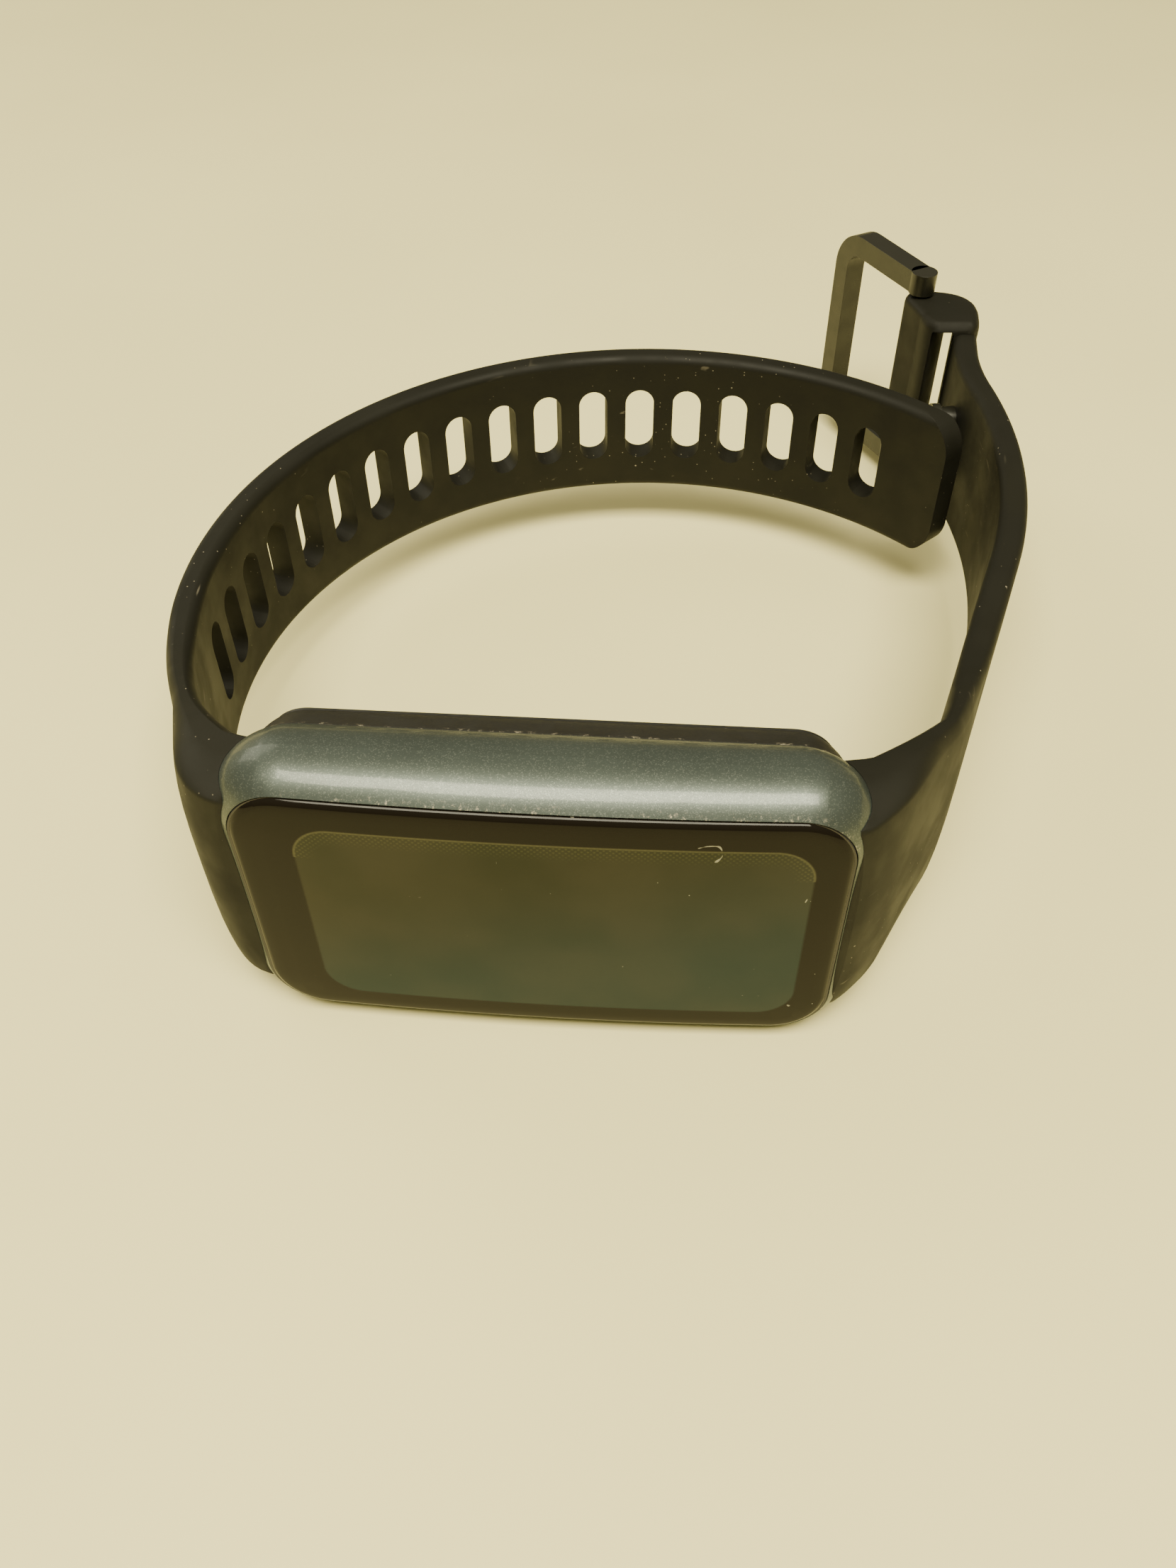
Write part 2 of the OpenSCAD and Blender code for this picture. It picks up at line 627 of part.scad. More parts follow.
// Stud on the inner face of the short strap, just before the loop
stud_back = 5;
stud_at = walk(short_start, short_segs, short_l - stud_back);
module fastening_stud() color([0.20, 0.21, 0.22]) other_end() at(stud_at) {
  translate([0, 0, -half_t + 0.1]) linear_extrude(0.6) pill(slot_w + 1.5, slot_l + 1.5);
  translate([0, 0, -half_t + 0.4]) linear_extrude(strap_t + 1.9) pill(slot_w - 0.5, slot_l - 0.5);
  translate([0, 0, half_t + 1.4]) linear_extrude(0.8) pill(slot_w + 0.1, slot_l + 0.1);
}

// --- Strap bars: a tube with one fixed tip, and a sprung tip with a knob
knob_y = 4.4;
spring_y = -5.6;
module bar_tube() translate([bar_x, 0, -bar_depth]) difference() {
  union() {
    across(bar_r, -bar_len / 2, bar_len / 2);
    across(bar_tip_r, -bar_len / 2 - 1.2, 0);
  }
  across(bar_bore_r, spring_y, bar_len / 2 + 1);
  translate([-0.3, knob_y - bar_travel - 0.4, -2]) cube([0.6, bar_travel + 0.8, 2]);
}

module bar_tip() translate([bar_x, 0, -bar_depth]) {
  across(bar_bore_r - run_gap, -0.5, bar_len / 2);
  across(bar_tip_r, 0, bar_len / 2 + 1.2);
  translate([0, knob_y, -3.2]) cylinder(r = 0.26, h = 3);
  translate([0, knob_y, -3.4]) cylinder(r = 0.45, h = 1.2);
}

// Coil between the tube's closed end and the sliding tip
module bar_spring() {
  turns = 7;
  per = 10;
  wire = 0.11;
  coil = bar_bore_r - 0.2;
  y0 = spring_y + wire;
  rise = (-0.5 - wire - y0) / (turns * per);
  ring = [for (k = [0 : 5]) [cos(60 * k), sin(60 * k)]];
  pts = [for (i = [0 : turns * per], k = [0 : 5]) let (a = 360 * i / per, q = coil + wire * ring[k][0])
    [q * cos(a), y0 + i * rise + wire * ring[k][1], q * sin(a)]];
  n = turns * per;
  walls = [for (i = [0 : n - 1], k = [0 : 5]) let (m = (k + 1) % 6)
    [6 * i + k, 6 * i + m, 6 * (i + 1) + m, 6 * (i + 1) + k]];
  translate([bar_x, 0, -bar_depth])
    polyhedron(points = pts,
      faces = concat(walls, [[5, 4, 3, 2, 1, 0]], [[for (k = [0 : 5]) 6 * n + k]]));
}

module long_bar_tube() color([0.60, 0.61, 0.62]) bar_tube();
module long_bar_tip() color([0.68, 0.69, 0.70]) bar_tip();
module long_bar_spring() color([0.52, 0.53, 0.55]) bar_spring();
module short_bar_tube() color([0.60, 0.61, 0.62]) other_end() bar_tube();
module short_bar_tip() color([0.68, 0.69, 0.70]) other_end() bar_tip();
module short_bar_spring() color([0.52, 0.53, 0.55]) other_end() bar_spring();

// --- Buckle: an open frame that swings on the pin
module buckle_frame() color([0.17, 0.17, 0.17]) other_end()
  at([pin_at[0], pin_at[1], frame_h]) difference() {
    union() {
      translate([0, 0, -rail_t / 2]) linear_extrude(rail_t) difference() {
        translate([frame_reach / 2 - 2, 0]) rounded(frame_reach + 4, frame_w, frame_round);
        translate([frame_reach - rail_w - 10, 0]) rounded(20, frame_in_w, frame_round - rail_w);
        translate([-10, 0]) square([20, frame_w + 2], center = true);
      }
      for (s = [-1, 1]) {
        y0 = s > 0 ? frame_in_w / 2 : -frame_w / 2;
        across(barrel_r - 0.15, y0, y0 + rail_w);
      }
    }
    across(pin_r, -frame_w / 2 + 0.4, frame_w / 2 - 0.4);
  }

module buckle_pin() color([0.66, 0.66, 0.68]) other_end()
  translate([pin_at[0], 0, pin_at[1]]) across(pin_r, -frame_w / 2 + 0.4, frame_w / 2 - 0.4);

place() mid_case();
place() rear_cover();
place() cover_glass();
place() bezel_mask();
place() glass_gasket();
place() display_panel();
place() display_flex();
place() inner_frame();
place() main_board();
place() shield_can();
place() board_chips();
place() battery();
place() battery_flex();
place() vibration_motor();
place() antenna_flex();
place() board_screws();
place() sensor_board();
place() sensor_flex();
place() sensor_leds();
place() photodiodes();
place() light_barrier();
place() sensor_window();
place() charge_contacts();
place() contact_seals();
place() case_gasket();
place() side_button();
place() button_seal();
place() button_clip();
place() dome_switch();
place() long_strap_root();
place() long_strap();
place() long_bar_tube();
place() long_bar_tip();
place() long_bar_spring();
place() short_strap_root();
place() short_strap();
place() short_bar_tube();
place() short_bar_tip();
place() short_bar_spring();
place() fastening_stud();
place() buckle_frame();
place() buckle_pin();
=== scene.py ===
import json
import math

import bmesh
import bpy
from bpy.props import FloatProperty, FloatVectorProperty, IntProperty, PointerProperty
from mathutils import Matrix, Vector


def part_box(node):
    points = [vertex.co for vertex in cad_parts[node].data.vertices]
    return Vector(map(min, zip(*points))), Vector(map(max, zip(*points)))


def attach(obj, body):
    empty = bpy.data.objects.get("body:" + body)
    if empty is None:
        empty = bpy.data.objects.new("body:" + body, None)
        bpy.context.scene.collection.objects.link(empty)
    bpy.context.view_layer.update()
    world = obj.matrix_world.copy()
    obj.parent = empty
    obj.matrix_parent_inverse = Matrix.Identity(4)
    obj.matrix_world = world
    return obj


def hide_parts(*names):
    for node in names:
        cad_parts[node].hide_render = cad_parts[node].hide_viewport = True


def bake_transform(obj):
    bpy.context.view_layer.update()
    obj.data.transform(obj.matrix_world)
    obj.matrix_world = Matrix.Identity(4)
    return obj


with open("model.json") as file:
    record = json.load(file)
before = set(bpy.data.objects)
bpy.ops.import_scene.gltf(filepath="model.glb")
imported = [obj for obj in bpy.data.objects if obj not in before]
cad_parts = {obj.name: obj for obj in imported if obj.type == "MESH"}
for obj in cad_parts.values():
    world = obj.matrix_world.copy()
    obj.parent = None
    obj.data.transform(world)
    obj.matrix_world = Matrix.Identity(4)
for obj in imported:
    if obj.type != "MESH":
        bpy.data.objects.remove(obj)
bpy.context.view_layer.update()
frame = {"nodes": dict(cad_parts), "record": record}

bl_info = {
    "name": "Fitness Band",
    "version": (1, 0, 0),
    "blender": (4, 5, 0),
    "location": "View3D > Sidebar > Band",
    "description": "Models the skins of a fitness tracker band around its packed frame",
    "category": "Add Mesh",
}

MM = 0.001
BACK_DEPTH = 10.2        # from the display plane to the flat back, in mm

# Where the case stands: its middle along X, its middle across the strap, and its display plane
CASE_LOW, CASE_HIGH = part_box("mid_case")
CASE_X = (CASE_LOW.x + CASE_HIGH.x) / 2
CASE_Z = (CASE_LOW.z + CASE_HIGH.z) / 2
FACE_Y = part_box("rear_cover")[1].y - BACK_DEPTH * MM


# ---------------- sizes and colours

def length(name, description, default):
    return FloatProperty(name=name, description=description, default=default, min=0.0, unit="LENGTH", precision=5)


def colour(name, description, default):
    return FloatVectorProperty(name=name, description=description, default=default, min=0, max=1, subtype="COLOR")


class CaseSizes(bpy.types.PropertyGroup):
    length: length("Length", "Length of the case between the straps", 0.0432)
    width: length("Width", "Width of the case across the strap", 0.0254)
    corner: length("Corner", "Radius of the case corners seen from the front", 0.0055)
    side: length("Side radius", "Radius of the rounded side band", 0.0046)
    widest: length("Widest line", "Depth of the side band's widest line", 0.0030)
    seam: length("Seam", "Depth of the joint between side band and rear cover", 0.0063)
    rim: length("Rim", "Width of the rim around the glass", 0.00155)
    gap: length("Groove", "Gap between the glass and the rim", 0.00012)
    wall: length("Wall", "Thickness of the side band wall", 0.0030)
    bow: length("Bow", "Radius of the lengthwise bow of the front", 0.350)
    crown: length("Crown", "Height of the glass above the display plane", 0.00095)
    paint: colour("Paint", "Colour of the side band's metallic paint", (0.050, 0.062, 0.056))
    shell: colour("Rear shell", "Colour of the rear cover", (0.008, 0.0075, 0.006))


class DisplaySizes(bpy.types.PropertyGroup):
    lit_length: length("Lit length", "Length of the display's lit area", 0.03315)
    lit_width: length("Lit width", "Width of the display's lit area", 0.01747)
    shift: length("Shift", "Shift of the lit area towards the short strap", 0.00088)
    corner: length("Corner", "Corner radius of the lit area", 0.0026)
    border: colour("Border", "Colour of the printed border behind the glass", (0.0062, 0.0048, 0.0032))
    # upper and lower hold the unlit display's own dark tint plus a painted reflection that shifts it from olive at
    # the upper side to teal at the lower side
    upper: colour("Upper tint", "Tint of the unlit display at its upper side", (0.0175, 0.0190, 0.0090))
    lower: colour("Lower tint", "Tint of the unlit display at its lower side", (0.0165, 0.0290, 0.0240))


class StrapSizes(bpy.types.PropertyGroup):
    width: length("Width", "Width of both straps", 0.0145)
    root: length("Root width", "Width of the straps at the case", 0.0220)
    thickness: length("Thickness", "Thickness of both straps", 0.0023)
    long_length: length("Long strap", "Length of the long strap along its middle", 0.112)
    curl: length("Curl", "Radius to which the long strap is curled", 0.0362)
    tip: length("Tip", "Corner radius of the long strap's tip", 0.0035)
    flex: length("Flexing place", "Distance from the case to the flexing place", 0.0085)
    slots: IntProperty(name="Slots", description="Number of adjusting slots", default=18, min=1)
    pitch: length("Pitch", "Distance between two slots", 0.00479)
    slot_width: length("Slot width", "Width of a slot along the strap", 0.0029)
    slot_length: length("Slot length", "Length of a slot across the strap", 0.0075)
    slot_end: length("Last slot", "Distance from the tip to the last slot", 0.0086)
    silicone: colour("Silicone", "Colour of the silicone", (0.0065, 0.0062, 0.0038))


class BuckleSizes(bpy.types.PropertyGroup):
    loop: length("Loop", "Length of the loop at the short strap's end", 0.0090)
    loop_height: length("Passage", "Height of the passage through the loop", 0.0027)
    inside: length("Inner width", "Inner width of the buckle frame", 0.0171)
    rail: length("Rail", "Width of the buckle frame's rails", 0.0021)
    thickness: length("Thickness", "Thickness of the buckle frame", 0.0022)
    reach: length("Reach", "Reach of the buckle frame from its pin", 0.0132)
    corner: length("Corner", "Outer corner radius of the buckle frame", 0.0040)
    pin: length("Pin", "Radius of the buckle pin", 0.0007)
    plastic: colour("Plastic", "Colour of the buckle frame", (0.0065, 0.0062, 0.0038))


class StageLook(bpy.types.PropertyGroup):
    table: colour("Table", "Colour of the table", (0.76, 0.69, 0.34))
    lens: FloatProperty(name="Lens", description="Focal length of the camera in millimetres", default=29.23, min=1)
    lamp: FloatProperty(name="Lamp", description="Power of the overhead lamp", default=10.5, min=0, subtype="POWER")


# ---------------- hand tools

def put_down():
    """Leaves edit mode and deselects everything."""
    if bpy.context.object and bpy.context.object.mode != "OBJECT":
        bpy.ops.object.mode_set(mode="OBJECT")
    bpy.ops.object.select_all(action="DESELECT")


def take(piece):
    """Makes a piece the only selected one."""
    put_down()
    piece.select_set(True)
    bpy.context.view_layer.objects.active = piece


def open_up(piece):
    """Takes a piece into edit mode with all of it selected."""
    take(piece)
    bpy.ops.object.mode_set(mode="EDIT")
    bpy.ops.mesh.select_all(action="SELECT")


def apply(piece, kind, **values):
    """Adds a modifier with its values and applies it."""
    take(piece)
    added = piece.modifiers.new(kind.lower(), kind)
    for key, value in values.items():
        setattr(added, key, value)
    bpy.ops.object.modifier_apply(modifier=added.name)


def place_here(piece, **place):
    """Sets a piece's scale, rotation_euler or location, and puts its place into its mesh."""
    take(piece)
    for key, value in place.items():
        setattr(piece, key, value)
    bpy.ops.object.transform_apply(location=True, rotation=True, scale=True)


def named(name, **place):
    """The primitive that was just added, with its name, and its place in its mesh."""
    piece = bpy.context.object
    piece.name = piece.data.name = name
    place_here(piece, **place)
    return piece


def block(name, low, high):
    """A block between two corners."""
    put_down()
    bpy.ops.mesh.primitive_cube_add(size=1, location=[(a + b) / 2 for a, b in zip(low, high)])
    return named(name, scale=[b - a for a, b in zip(low, high)])


def rod(name, radius, depth, centre, sides=48):
    """A rod along Z."""
    put_down()
    bpy.ops.mesh.primitive_cylinder_add(vertices=sides, radius=radius, depth=depth, location=centre)
    return named(name)


def plate(name, long_side, wide_side, corner, height, segments):
    """A flat rounded plate that faces up, left in edit mode and selected."""
    put_down()
    bpy.ops.mesh.primitive_plane_add(size=1, location=(0, 0, height))
    piece = named(name, scale=(long_side, wide_side, 1))
    open_up(piece)
    bpy.ops.mesh.bevel(offset=corner, segments=segments, affect="VERTICES", profile=0.5)
    return piece


def pull_up(height):
    """Draws the selected face up or down into a body whose faces point outwards."""
    bpy.ops.mesh.extrude_region_move(TRANSFORM_OT_translate={"value": (0, 0, height)})
    bpy.ops.mesh.select_all(action="SELECT")
    bpy.ops.mesh.normals_make_consistent(inside=False)


def pick(piece, test, kind="FACE"):
    """Selects the faces or edges whose middle and direction pass the test."""
    if piece.mode != "EDIT":
        open_up(piece)
    bpy.ops.mesh.select_mode(type=kind)
    bpy.ops.mesh.select_all(action="DESELECT")
    mesh = bmesh.from_edit_mesh(piece.data)
    mesh.normal_update()
    if kind == "FACE":
        found = [f for f in mesh.faces if test(f.calc_center_median(), f.normal)]
    else:
        ends = [(e, e.verts[0].co, e.verts[1].co) for e in mesh.edges]
        found = [e for e, a, b in ends if test((a + b) / 2, b - a)]
    for part in found:
        part.select_set(True)
    mesh.select_flush_mode()
    bmesh.update_edit_mesh(piece.data)
    if not found:
        raise RuntimeError(f"nothing to pick on {piece.name}")


def round_edges(piece, test, radius, segments, **values):
    """Rounds the edges that pass the test."""
    pick(piece, test, "EDGE")
    bpy.ops.mesh.bevel(offset=radius, segments=segments, affect="EDGES", **values)
    bpy.ops.object.mode_set(mode="OBJECT")


def trail(steps):
    """Insets the picked face again and again: each step goes inwards and then up."""
    for inwards, up in steps:
        bpy.ops.mesh.inset(thickness=inwards, depth=up)


def slice_up(piece, direction, stations, upto=None):
    """Cuts edges across a piece, so that it can bend; `upto` limits the cuts along X."""
    open_up(piece)
    d = Vector(direction)
    for s in stations:
        if upto is None:
            bpy.ops.mesh.select_all(action="SELECT")
        else:
            pick(piece, lambda c, n: c.x < upto)
        bpy.ops.mesh.bisect(plane_co=d * s, plane_no=d)
    bpy.ops.object.mode_set(mode="OBJECT")


def outward(piece, merge=0.0005):
    """Merges doubled points and turns the faces outwards."""
    open_up(piece)
    bpy.ops.mesh.remove_doubles(threshold=merge)
    bpy.ops.mesh.normals_make_consistent(inside=False)
    bpy.ops.object.mode_set(mode="OBJECT")


def carve(piece, tool, how="DIFFERENCE"):
    """Cuts a tool out of a piece, or adds it, and throws the tool away."""
    apply(piece, "BOOLEAN", operation=how, solver="EXACT", object=tool)
    bpy.data.objects.remove(tool)


def round_off(piece, width, segments, angle):
    """Rounds every edge that is sharper than an angle."""
    apply(piece, "BEVEL", width=width, segments=segments, limit_method="ANGLE",
          angle_limit=math.radians(angle), use_clamp_overlap=True)


def polish(piece, angle):
    """Smooth shading, with edges kept where the surface turns by more than an angle."""
    take(piece)
    bpy.ops.object.shade_smooth_by_angle(angle=math.radians(angle))
    apply(piece, "WEIGHTED_NORMAL", keep_sharp=True, weight=80)


def stand_up(piece):
    """From face up on the bench to its place in the band."""
    place_here(piece, scale=(MM, MM, MM), rotation_euler=(math.pi / 2, 0, 0), location=(CASE_X, FACE_Y, CASE_Z))


def lay_in(piece):
    """From the plan view, seen from above, to its place in the band."""
    place_here(piece, scale=(MM, MM, MM), location=(CASE_X, FACE_Y, CASE_Z))


def drawn(name, points, closed):
    """A flat curve through points in the plan view."""
    put_down()
    bpy.ops.curve.primitive_nurbs_path_add()
    guide = bpy.context.object
    guide.name = name
    guide.data.dimensions = "2D"
    guide.data.splines.clear()
    line = guide.data.splines.new("POLY")
    line.points.add(len(points) - 1)
    for point, (x, y) in zip(line.points, points):
        point.co = (x, y, 0, 1)
    line.use_cyclic_u = closed
    return guide


def moulding(name, outline, thick, edge):
    """A body with a drawn outline in the plan view and rounded upper and lower edges."""
    piece = drawn(name, outline, True)
    shape = piece.data
    shape.fill_mode, shape.bevel_resolution = "BOTH", 3
    shape.extrude, shape.bevel_depth, shape.offset = thick / 2 - edge, edge, -edge
    take(piece)
    bpy.ops.object.convert(target="MESH")
    outward(piece, 0.002)
    return piece


BOW_CUTS = [i * 2.2 for i in range(-9, 10)]     # where the front is cut across, so that it can bow, in mm


def bow_front(pieces, case):
    """Bows the front lengthwise with a lattice that leaves the back alone."""
    put_down()
    bpy.ops.object.add(type="LATTICE", location=(0, 0, 0))
    cage = bpy.context.object
    # the cage's length, its depth down to the widest line, its top, and the height that bows in full
    long_side, deep, top, full = 46.0, case.widest / MM, 1.1, 0.45
    cage.scale = (long_side, 30, deep + top)
    cage.location = (0, 0, (top - deep) / 2)
    cage.data.points_u, cage.data.points_v, cage.data.points_w = 17, 2, 2
    cage.data.interpolation_type_u = "KEY_CATMULL_ROM"
    cage.data.interpolation_type_v = cage.data.interpolation_type_w = "KEY_LINEAR"
    for point in cage.data.points:
        if point.co.z > 0:
            x = point.co.x * long_side
            point.co_deform.z = point.co.z - x * x / (2 * case.bow / MM) / (deep + full)
    for piece in pieces:
        apply(piece, "LATTICE", object=cage)
    bpy.data.objects.remove(cage)


# ---------------- strap paths, in the plan view

def advance(place, run, turn):
    """The place at the end of a run that turns by an angle; a place is x, y and heading."""
    x, y, h = place
    if abs(turn) < 1e-5:
        return x + run * math.cos(h), y + run * math.sin(h), h
    r = run / turn
    return x + r * (math.sin(h + turn) - math.sin(h)), y - r * (math.cos(h + turn) - math.cos(h)), h + turn


def walk(start, runs, s):
    """The place at a distance along a path of straight and curved runs."""
    place = start
    if s < 0:
        return advance(place, s, 0)
    for run, turn in runs:
        if s <= run:
            return advance(place, s, turn * s / run)
        place, s = advance(place, run, turn), s - run
    return advance(place, s, 0)


def beside(place, along, out):
    """A point off a path: along it, and to its left."""
    x, y, h = place
    return x + along * math.cos(h) - out * math.sin(h), y + along * math.sin(h) + out * math.cos(h)


def bezier(a, k, b, steps=24):
    """Points on a curve from a to b that is drawn towards k."""
    return [tuple((1 - t) ** 2 * a[i] + 2 * t * (1 - t) * k[i] + t * t * b[i] for i in (0, 1))
            for t in (n / steps for n in range(steps + 1))]


def offset_at(start, runs, s, line):
    """How far to the left of the path a line passes, seen square to the path at a distance s."""
    x, y, h = walk(start, runs, s)
    c, d = math.cos(h), math.sin(h)
    before = None
    for px, py in line:
        along = (px - x) * c + (py - y) * d
        out = -(px - x) * d + (py - y) * c
        if before and (before[0] <= 0) != (along <= 0):
            t = before[0] / (before[0] - along)
            return before[1] + t * (out - before[1])
        before = (along, out)
    return before[1] if abs(before[0]) < 3 else None


class Path:
    """A strap's middle line, with the side that faces the wrist."""

    def __init__(self, start, runs, wrist):
        self.start, self.runs, self.wrist = start, runs, wrist
        self.length = sum(run for run, turn in runs)

    def at(self, s):
        return walk(self.start, self.runs, s)


def long_path(case, strap):
    """The long strap's middle line, curled to one radius."""
    start = (-case.length / MM / 2 + 0.2, 4.5, math.radians(130))
    run = strap.long_length / MM
    return Path(start, [(run, -run / (strap.curl / MM))], -1)


def short_path(case):
    """The short strap's middle line: it leaves the case, runs straight, curls and straightens for the loop."""
    start = (case.length / MM / 2 + 1.3, 4.4, math.radians(54))
    runs = [(11.6, 18.1), (19.4, 0), (27, 28.9), (7, -16)]
    return Path(start, [(run, math.radians(turn)) for run, turn in runs], 1)


def root_lines(case, path, flex, half, side):
    """Outer and inner outline of a strap root in the plan view. side is -1 for the left end."""
    end = case.length / MM / 2
    place = path.at(flex)
    outer_end, inner_end = beside(place, 0, -half * path.wrist), beside(place, 0, half * path.wrist)
    if side < 0:
        shoulder, heel = (-end - 2.9, 0.7), (-end - 1.8, 9.4)
    else:
        shoulder, heel = (end + 1.4, 1.6), (end + 1.6, 9.2)
    rim = (side * (end - 0.9), 0.12)
    foot = (side * (end - 2.2), case.seam / MM + 1.1)
    inside = side * (end - 18)
    return ([(inside, rim[1])] + bezier(rim, shoulder, outer_end),
            [(inside, foot[1])] + bezier(foot, heel, inner_end))


def eased(t):
    """From 0 to 1, slow at both ends."""
    t = min(max(t, 0), 1)
    return t * t * (3 - 2 * t)


def half_width(depth, strap):
    """Half the strap's width, which narrows over 18 mm from a depth of 3 mm."""
    return (strap.root + (strap.width - strap.root) * eased((depth - 3) / 18)) / MM / 2


ACROSS = (-6.0, -5.0, -3.8, -2.2, 0, 2.2, 3.8, 5.0, 6.0)    # lengthwise edges across a strap's root, in mm
BEGIN = -6.0                                                # the straps start this far inside the case, in mm


def flat_strap(name, strap, run):
    """A strap laid out flat along X, from its start in the case to the end of its run."""
    half, wide = strap.thickness / MM / 2, strap.width / MM / 2
    piece = block(name, (0, -half, -wide), (run - BEGIN, half, wide))
    round_edges(piece, lambda c, d: abs(d.x) > 1 and abs(abs(c.y) - half) < 0.01, 0.8, 6, profile=0.5)
    return piece


def swell_root(piece, case, strap, path, side, upto):
    """Shapes the strap near the case: each station gets its two faces, its width and its dome."""
    half, flex, wide = strap.thickness / MM / 2, strap.flex / MM, strap.width / MM / 2
    outer, inner = root_lines(case, path, flex, half, side)
    stations = {}
    for s in sorted({round(v.co.x, 3) for v in piece.data.vertices}):
        where = s + BEGIN
        if where > upto:
            continue
        high = low = None
        if where < flex:
            high = offset_at(path.start, path.runs, where, outer)
            low = offset_at(path.start, path.runs, where, inner)
        high = -half * path.wrist if high is None else high
        low = half * path.wrist if low is None else low
        fade = 1 - eased((where - 2) / (upto - 3))
        rise = (where + 1) / 10
        domes = (0.12 + 0.42 * eased(rise)) * fade, (0.9 - 0.4 * min(max(rise, 0), 1)) * fade
        stations[s] = high, low, 1 + 0.9 * (half_width(path.at(where)[1], strap) / wide - 1), domes
    for v in piece.data.vertices:
        if round(v.co.x, 3) in stations:
            high, low, wider, domes = stations[round(v.co.x, 3)]
            share = (v.co.y * -path.wrist / half + 1) / 2 - 0.35
            edge = min(abs(v.co.z) / wide, 1) ** 3.2
            v.co.y = low + (high - low) * (0.35 + share * (1 - domes[0 if share > 0 else 1] * edge))
            v.co.z *= wider if v.co.z > 0 else 1 + (wider - 1) * 0.82
    piece.data.update()


def curl(piece, path, run):
    """Bends a flat strap along its path."""
    count = int((run - BEGIN) / 0.5) + 1
    guide = drawn("guide", [path.at(BEGIN + (run - BEGIN) * i / count)[:2] for i in range(count + 1)], False)
    apply(piece, "CURVE", object=guide, deform_axis="POS_X")
    bpy.data.objects.remove(guide)
    outward(piece)


def bend_at_flex(piece, path, strap):
    """Works out the path's places either side of the flexing place, which nothing uses, and puts the skin's
    placement into its mesh.
    """
    spread = 2.6
    ends = [path.at(strap.flex / MM + side * spread) for side in (-1, 1)]
    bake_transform(piece)


def case_form(case):
    """The outside of the case as one closed body in the plan view, to trim the straps with."""
    clear = 0.04
    form = plate("case_form", case.length / MM + 2 * clear, case.width / MM + 2 * clear,
                 case.corner / MM + clear, -case.widest / MM, 8)
    shape_band_side(form, case, closed=True)
    outward(form)
    bow_front([form], case)
    place_here(form, rotation_euler=(math.pi / 2, 0, 0))
    return form


def arc_steps(r, end, steps):
    """Insets that follow an arc over to an angle."""
    turns = [end * i / steps for i in range(steps + 1)]
    return [(r * (math.cos(a) - math.cos(b)), r * (math.sin(b) - math.sin(a))) for a, b in zip(turns, turns[1:])]


def band_steps(case, top):
    """Insets that follow the rounded side from its widest line up, or down to the seam."""
    if top:
        return arc_steps(case.side / MM, math.acos(1 - case.rim / case.side), 10)
    return arc_steps(case.side / MM, math.asin((case.seam - case.widest) / case.side), 8)


def cover_steps(case):
    """Insets that follow the rear cover from the seam to the flat back."""
    r, side, seam = case.corner / MM, case.side / MM, case.seam / MM
    first = r - side + math.sqrt(side ** 2 - (seam - case.widest / MM) ** 2)
    line = bezier((first, seam), (r - 2.2, BACK_DEPTH - 0.5), (r - 4.7, BACK_DEPTH), 9)
    return [(a[0] - b[0], b[1] - a[1]) for a, b in zip(line, line[1:])]


def shape_band_side(piece, case, closed=False):
    """Draws the widest line up to the glass and down to the seam, or on over the back if closed."""
    pull_up(0.02)
    pick(piece, lambda c, n: n.z > 0.9)
    trail(band_steps(case, True))
    if not closed:
        trail([(0.04, -0.015), (0.02, -0.05), (0.01, -0.85), (case.wall / MM - case.rim / MM - 0.07, 0)])
    pick(piece, lambda c, n: n.z < -0.9)
    trail(band_steps(case, False))
    if closed:
        trail(cover_steps(case))
        return
    so_far = 1.564      # how far in the lower edge has come by then, in mm
    trail([(0.05, 0.03), (0.07, 0.0), (0.05, -0.04), (case.wall / MM - so_far, 0)])


# ---------------- finishes

